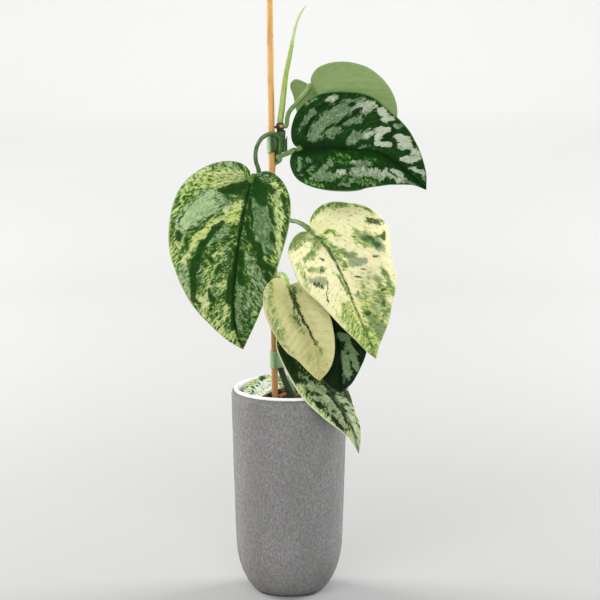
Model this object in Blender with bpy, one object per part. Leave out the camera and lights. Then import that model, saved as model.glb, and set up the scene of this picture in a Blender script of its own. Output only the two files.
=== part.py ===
# Satin pothos in a grey textured pot, tied to a cane. Metres, +Z up.
# The origin is the middle of the pot's underside, and the plant's front faces -Y.

import math
import random

import bmesh
import bpy
from mathutils import Matrix, Vector
from mathutils.geometry import convex_hull_2d, intersect_line_line_2d

GAP = 0.0003  # air between pieces that touch
SEED = 7

# Pot
POT_SIDES = 40
FOOT_RADIUS = 0.026
BELLY_RADIUS = 0.046
BELLY_HEIGHT = 0.043
BELLY_ROUNDNESS = 1.7
RIM_RADIUS = 0.050
RIM_BULGE = 0.85
SHOULDER_HEIGHT = 0.1735
POT_HEIGHT = 0.1802
LIP = [  # the lip's section from the grey shoulder to the inside: in from the rim, down from the top
    (0.0004, 0.0045), (0.0013, 0.0031), (0.0025, 0.0025), (0.0027, 0.0011), (0.0033, 0.0003),
    (0.0042, 0.0), (0.0052, 0.0005), (0.0056, 0.0016),
]
WALL = 0.0056
FLOOR = 0.007

# Potting mix
MIX_HEIGHT = 0.169
MIX_RELIEF = 0.0008
CHIP_COUNT = 26
CHIP_SIZE = (0.0035, 0.0075)
CHIP_SINK = 0.0011
CHIP_MARGIN = 0.001
CHIP_SPREAD = 0.039  # no chip lies further out
LOW_LEAF_TIP = (Vector((-0.031, -0.010, 0)), 0.012)  # chips stay out from under it

# Cane, straight and slightly leaning
CANE_RADIUS = 0.0028
CANE_SIDES = 16
CANE_FOOT = Vector((-0.0110, 0.0, 0.060))
CANE_TOP = Vector((-0.0164, 0.0, 0.530))

# Vine, from its foot in the mix to the node under the new shoot
VINE_RADIUS = 0.0029
VINE_FOOT_RADIUS = 0.0040
VINE_FOOT_END = 0.1860  # height where the thick foot has thinned out
VINE_NODES = [0.2281, 0.2579, 0.2688, 0.3275, 0.3755, 0.3832, 0.4060]
NODE_SWELL = 0.0008
NODE_REACH = 0.0045
VINE_STEP = 0.006
VINE_ROUTE = [
    (0.0034, 0.0040, 0.1390), (0.0030, 0.0040, 0.1600), (0.0020, 0.0042, 0.1724),
    (-0.0011, 0.0052, 0.1792), (-0.0050, 0.0064, 0.1878), (-0.0078, 0.0068, 0.1960),
    (-0.0098, 0.0068, 0.2040), (-0.0110, 0.0068, 0.2130), (-0.0117, 0.0068, 0.2300),
    (-0.0122, 0.0068, 0.2546), (-0.0132, 0.0068, 0.2983), (-0.0142, 0.0068, 0.3416),
    (-0.0145, 0.0068, 0.3660), (-0.0136, 0.0067, 0.3745), (-0.0114, 0.0061, 0.3805),
    (-0.0093, 0.0046, 0.3860), (-0.0082, 0.0032, 0.3910), (-0.0078, 0.0024, 0.3960),
    (-0.0076, 0.0019, 0.4020), (-0.0076, 0.0018, 0.4083),
]
ROOT_ROUTE = [(-0.0080, 0.0010, 0.4040), (-0.0100, -0.0012, 0.4052), (-0.0120, -0.0026, 0.4054)]
ROOT_RADIUS = 0.0009

# Ties: a flat band round cane and vine
TIE_WIDTH = 0.015
TIE_THICKNESS = 0.0010
TIE_SLACK = 0.0006
TIE_SIDES = 26
TIE_SPOTS = 32  # places on each round that the band is drawn over
TIE_REACH = 0.004  # the band is fitted to this much of the vine above and below
LOWER_TIE_HEIGHT = 0.2038
UPPER_TIE_HEIGHT = 0.3924
UPPER_TIE_TILT = 0.30  # rise to the right for each unit across

# New shoot: places and radii along it
SHOOT_ROUTE = [
    (-0.0076, 0.0018, 0.4091), (-0.0069, 0.0016, 0.4145), (-0.0059, 0.0010, 0.4214),
    (-0.0042, -0.0006, 0.4369), (-0.0017, -0.0026, 0.4541), (0.0009, -0.0040, 0.4668),
    (0.0022, -0.0050, 0.4737), (0.0034, -0.0060, 0.4814), (0.0059, -0.0070, 0.4924),
    (0.0089, -0.0080, 0.5009), (0.0118, -0.0085, 0.5056), (0.0147, -0.0090, 0.5094),
]
SHOOT_RADII = [0.0026, 0.0027, 0.0026, 0.0024, 0.0021, 0.0019, 0.0017, 0.0016, 0.0014, 0.0012, 0.0009, 0.0004]

# Leaves. A margin is read along the midrib from the blade's base, and across from it.
BLADE_THICKNESS = 0.0008
VEIN_SLANT = 0.6  # how far forward a side vein runs for each unit across
FAN_VEINS = 5  # veins of each half that start at the blade's base
STALK_SIDES = 8
KNUCKLE = 1.35  # how much the petiole swells just before the blade
FOOT_NARROWING = 0.85

# midrib: places from the blade's base to its tip.
# face: yaw and pitch of the upper side at base and tip; yaw 0 faces -Y, plus turns to +X.
# fold: rise of the right and left half at the midrib, in degrees.
# curl: how far each half turns back, in degrees, over curl_reach.
# lobe_bend: turn of the lobes behind the base, in radians for each metre.
# right, left: the margins from the notch to the tip, as (along, across).
# node: height on the vine where the petiole starts; None for one that stands in the mix.
LEAVES = {
    "leaf_left_large": dict(
        midrib=[
            (-0.032, -0.015, 0.363), (-0.039, -0.022, 0.329), (-0.044, -0.027, 0.296),
            (-0.047, -0.029, 0.262), (-0.045, -0.028, 0.236), (-0.039, -0.025, 0.218),
        ],
        face=((-22, 8), (-16, 6)), fold=(22, 28), curl=(28, 32), curl_reach=0.050, lobe_bend=12.0,
        right=[(-0.007, 0.009), (-0.008, 0.020), (-0.001, 0.034), (0.012, 0.042), (0.030, 0.0445),
               (0.062, 0.0405), (0.105, 0.028), (0.133, 0.014)],
        left=[(-0.007, 0.003), (-0.011, 0.012), (-0.008, 0.030), (0.004, 0.049), (0.022, 0.062),
              (0.044, 0.066), (0.070, 0.062), (0.103, 0.041), (0.130, 0.015)],
        node=0.3832,
        petiole=[
            (-0.0078, -0.0036, 0.3845), (-0.0071, -0.0056, 0.3900), (-0.0070, -0.0062, 0.3950),
            (-0.0089, -0.0070, 0.3990), (-0.0135, -0.0085, 0.4009), (-0.0185, -0.0095, 0.3999),
            (-0.0236, -0.0105, 0.3965), (-0.0270, -0.0120, 0.3907), (-0.0283, -0.0125, 0.3840),
            (-0.0279, -0.0120, 0.3772), (-0.0262, -0.0104, 0.3719), (-0.0256, -0.0096, 0.3680),
            (-0.0270, -0.0106, 0.3648),
        ],
        stalk_radius=0.0018, veins=16, steps=5,
    ),
    "leaf_upper_right": dict(
        midrib=[
            (0.008, -0.012, 0.388), (0.034, -0.021, 0.390), (0.055, -0.028, 0.390),
            (0.076, -0.034, 0.388), (0.092, -0.037, 0.379), (0.115, -0.041, 0.358),
        ],
        face=((-10, 35), (-10, 30)), fold=(25, 25), curl=(25, 25), curl_reach=0.050, lobe_bend=14.0,
        right=[(-0.005, 0.006), (-0.006, 0.018), (0.000, 0.036), (0.016, 0.048), (0.038, 0.051),
               (0.058, 0.048), (0.072, 0.035), (0.096, 0.020), (0.113, 0.009)],
        left=[(-0.004, 0.006), (-0.003, 0.018), (0.005, 0.033), (0.019, 0.041), (0.040, 0.0435),
              (0.060, 0.0405), (0.080, 0.033), (0.098, 0.018), (0.112, 0.005)],
        node=0.3755,
        petiole=[
            (-0.0076, 0.0004, 0.3772), (-0.0094, -0.0044, 0.3796), (-0.0090, -0.0072, 0.3808),
            (-0.0059, -0.0082, 0.3820), (-0.0008, -0.0095, 0.3844), (0.0042, -0.0110, 0.3867),
        ],
        stalk_radius=0.0019, veins=15, steps=5,
    ),
    "leaf_top_back": dict(
        midrib=[(0.019, 0.002, 0.439), (0.033, 0.008, 0.419), (0.052, 0.014, 0.392), (0.068, 0.018, 0.366)],
        face=((190, 30), (180, 30)), fold=(32, 12), curl=(20, 20), curl_reach=0.050, lobe_bend=14.0,
        right=[(-0.006, 0.003), (-0.011, 0.009), (-0.008, 0.018), (0.003, 0.023), (0.020, 0.030),
               (0.045, 0.034), (0.068, 0.024), (0.082, 0.010)],
        left=[(-0.007, 0.004), (-0.011, 0.015), (-0.004, 0.034), (0.012, 0.050), (0.034, 0.056),
              (0.053, 0.052), (0.070, 0.036), (0.083, 0.014)],
        node=0.4055,
        petiole=[
            (-0.0019, 0.0002, 0.4085), (-0.0014, -0.0010, 0.4136), (0.0006, -0.0022, 0.4191),
            (0.0056, -0.0028, 0.4250), (0.0118, -0.0024, 0.4320), (0.0164, -0.0006, 0.4375),
        ],
        stalk_radius=0.0019, veins=12, steps=4,
    ),
    "leaf_cream_large": dict(
        midrib=[
            (0.019, -0.030, 0.320), (0.030, -0.037, 0.309), (0.047, -0.046, 0.281),
            (0.057, -0.053, 0.256), (0.066, -0.058, 0.237), (0.073, -0.062, 0.218),
        ],
        face=((25, 20), (18, 14)), fold=(25, 25), curl=(30, 30), curl_reach=0.050, lobe_bend=14.0,
        right=[(-0.008, 0.005), (-0.012, 0.017), (-0.008, 0.032), (0.006, 0.047), (0.020, 0.058),
               (0.031, 0.057), (0.046, 0.049), (0.070, 0.040), (0.093, 0.025), (0.110, 0.008)],
        left=[(-0.004, 0.009), (-0.002, 0.022), (0.006, 0.035), (0.020, 0.040), (0.037, 0.041),
              (0.055, 0.035), (0.080, 0.022), (0.112, 0.007)],
        node=0.3275,
        petiole=[
            (-0.0043, -0.0010, 0.3272), (0.0008, -0.0090, 0.3266), (0.0068, -0.0170, 0.3268),
            (0.0122, -0.0236, 0.3252), (0.0162, -0.0276, 0.3226),
        ],
        stalk_radius=0.0018, veins=16, steps=5,
    ),
    "leaf_cream_small": dict(
        midrib=[
            (0.0000, -0.0435, 0.2761), (0.0060, -0.0475, 0.2611), (0.0120, -0.0505, 0.2491),
            (0.0180, -0.0525, 0.2382), (0.0240, -0.0545, 0.2222), (0.0260, -0.0555, 0.1972),
        ],
        face=((4, 12), (0, 8)), fold=(32, 32), curl=(32, 32), curl_reach=0.028, lobe_bend=14.0,
        right=[(-0.001, 0.006), (0.001, 0.014), (0.010, 0.022), (0.024, 0.024), (0.037, 0.022),
               (0.058, 0.016), (0.075, 0.009)],
        left=[(-0.007, 0.0025), (-0.010, 0.010), (-0.004, 0.022), (0.010, 0.028), (0.035, 0.028),
              (0.050, 0.0255), (0.068, 0.016), (0.080, 0.006)],
        node=0.2688,
        petiole=[
            (-0.0060, 0.0012, 0.2715), (-0.0078, -0.0090, 0.2778), (-0.0078, -0.0185, 0.2817),
            (-0.0055, -0.0280, 0.2828), (-0.0024, -0.0370, 0.2800),
        ],
        stalk_radius=0.0024, veins=12, steps=4,
    ),
    "leaf_lower_inner": dict(
        midrib=[
            (0.025, -0.025, 0.261), (0.037, -0.031, 0.240), (0.043, -0.040, 0.216), (0.044, -0.049, 0.186),
        ],
        face=((8, 20), (8, 14)), fold=(18, 18), curl=(25, 25), curl_reach=0.030, lobe_bend=14.0,
        right=[(-0.006, 0.005), (-0.007, 0.012), (0.002, 0.022), (0.016, 0.027), (0.034, 0.0275),
               (0.051, 0.023), (0.062, 0.017), (0.076, 0.0085)],
        left=[(-0.006, 0.005), (-0.007, 0.012), (0.002, 0.021), (0.016, 0.026), (0.034, 0.027),
              (0.052, 0.024), (0.072, 0.016), (0.079, 0.008)],
        node=0.2579,
        petiole=[
            (-0.0045, -0.0018, 0.2588), (0.0025, -0.0080, 0.2615), (0.0093, -0.0135, 0.2636),
            (0.0169, -0.0196, 0.2640), (0.0215, -0.0230, 0.2628),
        ],
        stalk_radius=0.0015, veins=11, steps=4,
    ),
    "leaf_over_rim": dict(
        midrib=[
            (0.003, -0.014, 0.226), (0.018, -0.027, 0.208), (0.030, -0.037, 0.190),
            (0.042, -0.044, 0.176), (0.052, -0.051, 0.159), (0.059, -0.056, 0.135),
        ],
        face=((30, 32), (34, 24)), fold=(-8, -8), curl=(30, 30), curl_reach=0.030, lobe_bend=14.0,
        right=[(-0.008, 0.007), (-0.009, 0.016), (0.000, 0.027), (0.018, 0.032), (0.038, 0.032),
               (0.055, 0.028), (0.066, 0.021), (0.080, 0.013), (0.100, 0.0085), (0.110, 0.004)],
        left=[(-0.007, 0.004), (-0.008, 0.010), (-0.002, 0.016), (0.014, 0.021), (0.034, 0.0235),
              (0.058, 0.022), (0.078, 0.0185), (0.092, 0.012), (0.104, 0.005)],
        node=0.2281,
        petiole=[(-0.0050, -0.0010, 0.2300), (-0.0020, -0.0060, 0.2318), (0.0008, -0.0110, 0.2300)],
        stalk_radius=0.0017, veins=13, steps=4,
    ),
    "leaf_pot_mouth": dict(
        midrib=[
            (-0.009, 0.032, 0.1775), (-0.016, 0.020, 0.1765), (-0.023, 0.006, 0.1750),
            (-0.030, -0.008, 0.1740), (-0.034, -0.019, 0.1725),
        ],
        face=((-4, 74), (-4, 78)), fold=(4, 20), curl=(8, 22), curl_reach=0.020, lobe_bend=6.0,
        right=[(-0.003, 0.004), (-0.004, 0.008), (0.004, 0.012), (0.014, 0.012), (0.024, 0.009),
               (0.034, 0.008), (0.046, 0.006)],
        left=[(-0.004, 0.004), (-0.005, 0.009), (0.002, 0.014), (0.014, 0.0165), (0.028, 0.0165),
              (0.042, 0.012), (0.050, 0.006)],
        node=None,
        petiole=[
            (0.0015, 0.0320, 0.1560), (0.0011, 0.0330, 0.1640), (0.0006, 0.0342, 0.1715),
            (-0.0020, 0.0366, 0.1757), (-0.0056, 0.0358, 0.1772),
        ],
        stalk_radius=0.0012, veins=10, steps=3,
    ),
}

# Colour, roughness and metallic value of each material
MATERIALS = {
    "pot": ((0.30, 0.29, 0.28), 0.85, 0.0),
    "potting_mix": ((0.045, 0.025, 0.015), 0.95, 0.0),
    "cane": ((0.66, 0.42, 0.16), 0.55, 0.0),
    "vine": ((0.06, 0.13, 0.04), 0.45, 0.0),
    "tie_lower": ((0.10, 0.24, 0.10), 0.40, 0.0),
    "tie_upper": ((0.10, 0.24, 0.10), 0.40, 0.0),
    "new_shoot": ((0.38, 0.50, 0.17), 0.40, 0.0),
    "leaf_left_large": ((0.22, 0.33, 0.12), 0.35, 0.0),
    "leaf_upper_right": ((0.04, 0.13, 0.04), 0.35, 0.0),
    "leaf_top_back": ((0.16, 0.28, 0.13), 0.45, 0.0),
    "leaf_cream_large": ((0.62, 0.63, 0.33), 0.40, 0.0),
    "leaf_cream_small": ((0.62, 0.61, 0.36), 0.40, 0.0),
    "leaf_lower_inner": ((0.03, 0.10, 0.04), 0.35, 0.0),
    "leaf_over_rim": ((0.20, 0.30, 0.13), 0.35, 0.0),
    "leaf_pot_mouth": ((0.36, 0.42, 0.30), 0.40, 0.0),
}


def clear_scene():
    for thing in list(bpy.data.objects):
        bpy.data.objects.remove(thing)


def make_material(name):
    colour, roughness, metallic = MATERIALS[name]
    material = bpy.data.materials.new(name)
    material.use_nodes = True
    shader = material.node_tree.nodes["Principled BSDF"]
    shader.inputs["Base Color"].default_value = (*colour, 1.0)
    shader.inputs["Roughness"].default_value = roughness
    shader.inputs["Metallic"].default_value = metallic
    return material


def make_object(name, mesh, material=None):
    thing = bpy.data.objects.new(name, mesh)
    bpy.context.collection.objects.link(thing)
    if material:
        mesh.materials.clear()
        mesh.materials.append(material)
    return thing


def mesh_from(bm, name):
    bmesh.ops.recalc_face_normals(bm, faces=bm.faces)
    mesh = bpy.data.meshes.new(name)
    bm.to_mesh(mesh)
    bm.free()
    mesh.shade_smooth()
    mesh.set_sharp_from_angle(angle=math.radians(40))
    return mesh


# Curves


def smooth_curve(points, steps=8):
    """A smooth curve through the points, with even steps between each two."""
    points = [Vector(p) for p in points]
    points = [2 * points[0] - points[1], *points, 2 * points[-1] - points[-2]]
    curve = []
    for before, start, end, after in zip(points, points[1:], points[2:], points[3:]):
        knots = [0.0]
        for a, b in ((before, start), (start, end), (end, after)):
            knots.append(knots[-1] + max((b - a).length, 1e-9) ** 0.5)
        for i in range(steps):
            t = knots[1] + (knots[2] - knots[1]) * i / steps
            a = blend(before, start, knots[0], knots[1], t)
            b = blend(start, end, knots[1], knots[2], t)
            c = blend(end, after, knots[2], knots[3], t)
            ab = blend(a, b, knots[0], knots[2], t)
            bc = blend(b, c, knots[1], knots[3], t)
            curve.append(blend(ab, bc, knots[1], knots[2], t))
    curve.append(points[-2].copy())
    return curve


def blend(a, b, start, end, t):
    return a * ((end - t) / (end - start)) + b * ((t - start) / (end - start))


def lengths_along(curve):
    lengths = [0.0]
    for a, b in zip(curve, curve[1:]):
        lengths.append(lengths[-1] + (b - a).length)
    return lengths


def at_length(curve, lengths, length):
    length = min(max(length, 0.0), lengths[-1])
    for i in range(1, len(curve)):
        if lengths[i] >= length:
            share = (length - lengths[i - 1]) / (lengths[i] - lengths[i - 1])
            return curve[i - 1].lerp(curve[i], share)
    return curve[-1].copy()


# Solids of revolution and tubes


def turned(profile, sides):
    """A closed solid turned round Z. The profile starts and ends on the axis."""
    bm = bmesh.new()
    rings = []
    for radius, height in profile:
        if radius < 1e-6:
            rings.append([bm.verts.new((0, 0, height))])
            continue
        ring = []
        for i in range(sides):
            turn = 2 * math.pi * i / sides
            ring.append(bm.verts.new((radius * math.cos(turn), radius * math.sin(turn), height)))
        rings.append(ring)
    for low, high in zip(rings, rings[1:]):
        join_rings(bm, low, high)
    return bm


def join_rings(bm, low, high):
    count = max(len(low), len(high))
    for i in range(count):
        j = (i + 1) % count
        if len(low) == 1:
            bm.faces.new((low[0], high[j], high[i]))
        elif len(high) == 1:
            bm.faces.new((low[i], low[j], high[0]))
        else:
            bm.faces.new((low[i], low[j], high[j]))
            bm.faces.new((low[i], high[j], high[i]))


def tube(route, radii, sides):
    """A closed tube along the route, with flat ends."""
    bm = bmesh.new()
    ahead = (route[1] - route[0]).normalized()
    across = ahead.orthogonal().normalized()
    rings = []
    for i, place in enumerate(route):
        ahead = (route[min(i + 1, len(route) - 1)] - route[max(i - 1, 0)]).normalized()
        across = (across - ahead * across.dot(ahead)).normalized()
        up = ahead.cross(across)
        ring = []
        for k in range(sides):
            turn = 2 * math.pi * k / sides
            out = across * math.cos(turn) + up * math.sin(turn)
            ring.append(bm.verts.new(place + out * radii[i]))
        rings.append(ring)
    for low, high in zip(rings, rings[1:]):
        join_rings(bm, low, high)
    bm.faces.new(rings[0])
    bm.faces.new(rings[-1])
    bmesh.ops.triangulate(bm, faces=[f for f in bm.faces if len(f.verts) > 3])
    return bm


# Booleans


def join_solids(base, others, operation="UNION"):
    """Joins the others to the base, or cuts them from it, and removes them."""
    for other in others:
        cut = base.modifiers.new("join", "BOOLEAN")
        cut.operation = operation
        cut.solver = "EXACT"
        cut.object = other
    bpy.context.view_layer.update()
    shape = base.evaluated_get(bpy.context.evaluated_depsgraph_get())
    mesh = bpy.data.meshes.new_from_object(shape)
    base.modifiers.clear()
    base.data = mesh
    for other in others:
        bpy.data.objects.remove(other)


# Pot and potting mix


def outer_radius(height):
    share = max(height - BELLY_HEIGHT, 0.0) / (SHOULDER_HEIGHT - BELLY_HEIGHT)
    return BELLY_RADIUS + (RIM_RADIUS - BELLY_RADIUS) * share**RIM_BULGE


def pot_profile():
    profile = [(0.0, 0.0), (FOOT_RADIUS, 0.0)]
    for i in range(1, 7):
        turn = math.pi / 2 * i / 6
        share_out = math.sin(turn) ** (2 / BELLY_ROUNDNESS)
        share_up = 1 - math.cos(turn) ** (2 / BELLY_ROUNDNESS)
        profile.append((FOOT_RADIUS + (BELLY_RADIUS - FOOT_RADIUS) * share_out, BELLY_HEIGHT * share_up))
    for height in (0.075, 0.110, 0.145, SHOULDER_HEIGHT):
        profile.append((outer_radius(height), height))
    profile += [(RIM_RADIUS - inward, POT_HEIGHT - down) for inward, down in LIP]
    return profile + inner_wall(SHOULDER_HEIGHT, 0.0)


def inner_wall(top, inset):
    """The wall's inner side from the top down to the floor's middle, drawn in by the inset."""
    wall = []
    for height in (top, 0.110, BELLY_HEIGHT):
        wall.append((outer_radius(height) - WALL - inset, height))
    low = FLOOR + inset
    wide = BELLY_RADIUS - WALL - inset
    for i in range(1, 4):
        turn = math.pi / 2 * i / 3
        height = BELLY_HEIGHT - (BELLY_HEIGHT - low) * math.sin(turn)
        wall.append((wide * (0.5 + 0.5 * math.cos(turn)), height))
    wall.append((0.0, low))
    return wall


def make_pot():
    return make_object("pot", mesh_from(turned(pot_profile(), POT_SIDES), "pot"), make_material("pot"))


def mix_relief(x, y):
    """The uneven top of the mix, flat where it meets the pot."""
    waves = math.sin(430 * x + 1.3) * math.cos(390 * y) + 0.6 * math.sin(810 * x - 520 * y + 0.7)
    fade = max(0.0, 1 - (math.hypot(x, y) / 0.042) ** 4)
    return MIX_RELIEF * waves * fade


def make_mix():
    profile = [(r, MIX_HEIGHT) for r in (0.0, 0.009, 0.018, 0.027, 0.035)]
    profile += inner_wall(MIX_HEIGHT, GAP)
    bm = turned(profile, POT_SIDES)
    for vert in bm.verts:
        if vert.co.z > MIX_HEIGHT - 0.0001:
            vert.co.z += mix_relief(vert.co.x, vert.co.y)
    mix = make_object("potting_mix", mesh_from(bm, "potting_mix"), make_material("potting_mix"))
    foot, ahead, radius = sunk_petiole()
    stems = [
        (vine_at(MIX_HEIGHT)[0], VINE_FOOT_RADIUS + CHIP_MARGIN),
        (cane_at(MIX_HEIGHT), CANE_RADIUS + CHIP_MARGIN),
        (foot, radius + CHIP_MARGIN),
        LOW_LEAF_TIP,
    ]
    join_solids(mix, bark_chips(stems))
    hole = tube([foot - ahead * GAP, foot + ahead * 0.03], [radius + 2 * GAP] * 2, 2 * STALK_SIDES)
    holes = [vine_tube(GAP, MIX_HEIGHT + VINE_STEP), cane_tube(GAP), hole]
    join_solids(mix, [make_object("hole", mesh_from(shape, "hole")) for shape in holes], "DIFFERENCE")
    return mix


def sunk_petiole():
    """Foot, direction and radius of the one petiole that stands in the mix."""
    leaf = LEAVES["leaf_pot_mouth"]
    foot, knee = Vector(leaf["petiole"][0]), Vector(leaf["petiole"][1])
    return foot, (knee - foot).normalized(), leaf["stalk_radius"]


def bark_chips(keep_clear):
    """Split pieces of bark, half sunk in the mix, clear of the stems and of each other."""
    rng = random.Random(SEED)
    chips = []
    taken = [(spot.to_2d().to_3d(), reach) for spot, reach in keep_clear]
    while len(chips) < CHIP_COUNT:
        radius = CHIP_SPREAD * math.sqrt(rng.random())
        turn = 2 * math.pi * rng.random()
        place = Vector((radius * math.cos(turn), radius * math.sin(turn), 0))
        size = rng.uniform(*CHIP_SIZE)
        spin = rng.uniform(0, math.pi)
        if any((place - spot).length < reach + size * 0.6 for spot, reach in taken):
            continue
        taken.append((place, size * 0.45))
        bm = bmesh.new()
        bmesh.ops.create_cube(bm, size=1.0)
        for vert in bm.verts:
            vert.co.x += 0.16 * (rng.random() - 0.5)
            vert.co.y += 0.30 * (rng.random() - 0.5)
            vert.co.z += 0.25 * (rng.random() - 0.5)
        height = MIX_HEIGHT + mix_relief(place.x, place.y)
        shape = Matrix.Translation((place.x, place.y, height - CHIP_SINK + size * 0.16))
        shape @= Matrix.Rotation(spin, 4, "Z") @ Matrix.Rotation(rng.uniform(-0.25, 0.25), 4, "X")
        shape @= Matrix.Diagonal((size, size * 0.55, size * 0.40 + 0.001, 1.0))
        bmesh.ops.transform(bm, matrix=shape, verts=bm.verts)
        bmesh.ops.triangulate(bm, faces=bm.faces)
        chips.append(make_object("chip", mesh_from(bm, "chip")))
    return chips


# Cane, vine, shoot and ties


def cane_at(height):
    share = (height - CANE_FOOT.z) / (CANE_TOP.z - CANE_FOOT.z)
    return CANE_FOOT.lerp(CANE_TOP, share)


def cane_tube(extra=0.0):
    edge = 0.0005
    ahead = (CANE_TOP - CANE_FOOT).normalized()
    route = [CANE_FOOT - ahead * extra, CANE_TOP - ahead * edge, CANE_TOP]
    return tube(route, [CANE_RADIUS + extra, CANE_RADIUS + extra, CANE_RADIUS + extra - edge], CANE_SIDES)


def make_cane():
    return make_object("cane", mesh_from(cane_tube(), "cane"), make_material("cane"))


def vine_at(height):
    curve = smooth_curve(VINE_ROUTE)
    for a, b in zip(curve, curve[1:]):
        if a.z <= height <= b.z:
            return a.lerp(b, (height - a.z) / (b.z - a.z)), (b - a).normalized()
    return curve[-1], (curve[-1] - curve[-2]).normalized()


def vine_radius(height):
    foot = max(0.0, min(1.0, (VINE_FOOT_END - height) / 0.012))
    radius = VINE_RADIUS + (VINE_FOOT_RADIUS - VINE_RADIUS) * foot
    swell = max(max(0.0, 1 - abs(height - node) / NODE_REACH) for node in VINE_NODES)
    return radius + NODE_SWELL * swell


def vine_tube(extra=0.0, top=VINE_ROUTE[-1][2]):
    bottom = VINE_ROUTE[0][2]
    steps = round((top - bottom) / VINE_STEP)
    heights = [bottom + (top - bottom) * i / steps for i in range(steps + 1)]
    for node in VINE_NODES:
        if node < top:
            nearest = min(heights[1:-1], key=lambda h: abs(h - node))
            heights[heights.index(nearest)] = node
    route = [vine_at(h)[0] for h in heights]
    route[0].z -= extra
    return tube(route, [vine_radius(h) + extra for h in heights], 10)


def make_vine():
    vine = make_object("vine", mesh_from(vine_tube(), "vine"), make_material("vine"))
    route = smooth_curve(ROOT_ROUTE, 3)
    radii = [ROOT_RADIUS * (1 - 0.3 * i / (len(route) - 1)) for i in range(len(route))]
    join_solids(vine, [make_object("root", mesh_from(tube(route, radii, 6), "root"))])
    return vine


def make_shoot():
    route = smooth_curve(SHOOT_ROUTE, 2)
    radii = []
    for a, b in zip(SHOOT_RADII, SHOOT_RADII[1:]):
        radii += [a, (a + b) / 2]
    radii.append(SHOOT_RADII[-1])
    shape = mesh_from(tube(route, radii, 10), "new_shoot")
    return make_object("new_shoot", shape, make_material("new_shoot"))


def band_outline(height, room):
    """The outline round cane and vine at a height, with the given room round both."""
    rounds = [(cane_at(height), CANE_RADIUS + room)]
    for level in (-TIE_REACH, 0.0, TIE_REACH):
        rounds.append((vine_at(height + level)[0], VINE_RADIUS + NODE_SWELL * 0.4 + room))
    spots = []
    for centre, radius in rounds:
        for i in range(TIE_SPOTS):
            turn = 2 * math.pi * i / TIE_SPOTS
            spots.append(Vector((centre.x + radius * math.cos(turn), centre.y + radius * math.sin(turn))))
    hull = [spots[i] for i in convex_hull_2d(spots)]
    middle = (rounds[0][0] + rounds[2][0]).to_2d() / 2
    return [edge_towards(hull, middle, 2 * math.pi * i / TIE_SIDES) for i in range(TIE_SIDES)]


def edge_towards(hull, middle, turn):
    """Where a line from the middle meets the hull."""
    heading = Vector((math.cos(turn), math.sin(turn)))
    far = middle + heading * 0.1
    for a, b in zip(hull, hull[1:] + hull[:1]):
        meet = intersect_line_line_2d(middle, far, a, b)
        if meet:
            return meet
    return None


def make_tie(name, height, tilt):
    """A band of even thickness, its lower and upper edge each fitted to cane and vine."""
    bm = bmesh.new()
    middle = (cane_at(height).x + vine_at(height)[0].x) / 2
    outer = TIE_SLACK + TIE_THICKNESS
    levels = [(-0.5, TIE_SLACK), (-0.5, outer), (0.0, outer), (0.5, outer), (0.5, TIE_SLACK), (0.0, TIE_SLACK)]
    rings = []
    for level, room in levels:
        ring = []
        for spot in band_outline(height + level * TIE_WIDTH, room):
            rise = level * TIE_WIDTH + tilt * (spot.x - middle)
            ring.append(bm.verts.new((spot.x, spot.y, height + rise)))
        rings.append(ring)
    for low, high in zip(rings, rings[1:] + rings[:1]):
        join_rings(bm, low, high)
    return make_object(name, mesh_from(bm, name), make_material(name))


# Leaves


def face_direction(yaw, pitch):
    yaw, pitch = math.radians(yaw), math.radians(pitch)
    return Vector((math.sin(yaw) * math.cos(pitch), -math.cos(yaw) * math.cos(pitch), math.sin(pitch)))


def blade_frame(leaf, along):
    """Place, direction, upper side and right side at a length along the midrib."""
    curve, lengths = leaf["curve"], leaf["lengths"]
    whole = lengths[-1]
    inside = min(max(along, 0.0), whole)
    place = at_length(curve, lengths, inside)
    reach = whole * 0.01
    ahead = at_length(curve, lengths, inside + reach) - at_length(curve, lengths, inside - reach)
    ahead.normalize()
    share = inside / whole
    (yaw0, pitch0), (yaw1, pitch1) = leaf["face"]
    up = face_direction(yaw0 + (yaw1 - yaw0) * share, pitch0 + (pitch1 - pitch0) * share)
    up = (up - ahead * up.dot(ahead)).normalized()
    right = up.cross(ahead)
    if along < 0:
        bend = leaf["lobe_bend"]
        turn = -along * bend
        place = place - ahead * (math.sin(turn) / bend) - up * ((1 - math.cos(turn)) / bend)
        ahead, up = ahead * math.cos(turn) + up * math.sin(turn), up * math.cos(turn) - ahead * math.sin(turn)
    return place, ahead, up, right


def blade_point(leaf, along, across):
    """The place of a point of the blade; across is plus on the right half."""
    place, ahead, up, right = blade_frame(leaf, along)
    half = 0 if across >= 0 else 1
    share = min(max(along / leaf["lengths"][-1], 0.0), 1.0)
    rise = math.radians(leaf["fold"][half]) * (1 - 0.5 * share)
    curl = math.radians(leaf["curl"][half]) / leaf["curl_reach"]
    width = abs(across)
    out = (math.sin(rise) - math.sin(rise - curl * width)) / curl
    lift = (math.cos(rise - curl * width) - math.cos(rise)) / curl
    return place + right * math.copysign(out, across) + up * lift


def vein_ends(leaf, half):
    """Where the side veins of one half meet its margin: first the fan, then one for each origin."""
    whole = leaf["lengths"][-1]
    margin = [(0.0, 0.0), *leaf[half], (whole, 0.0)]
    margin = smooth_curve([(a, w, 0.0) for a, w in margin], 12)
    origin = [p.x - VEIN_SLANT * p.y for p in margin]
    turn = max(i for i, o in enumerate(origin) if o <= 0.0 and i < len(margin) - 1)
    fan = lengths_along(margin[: turn + 1])
    ends = [at_length(margin[: turn + 1], fan, fan[-1] * (i + 1) / FAN_VEINS) for i in range(FAN_VEINS)]
    for i in range(1, leaf["veins"]):
        start = vein_origin(leaf, i)
        k = next(k for k in range(turn + 1, len(margin)) if origin[k] >= start)
        share = (start - origin[k - 1]) / (origin[k] - origin[k - 1])
        ends.append(margin[k - 1].lerp(margin[k], share))
    return ends


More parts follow.
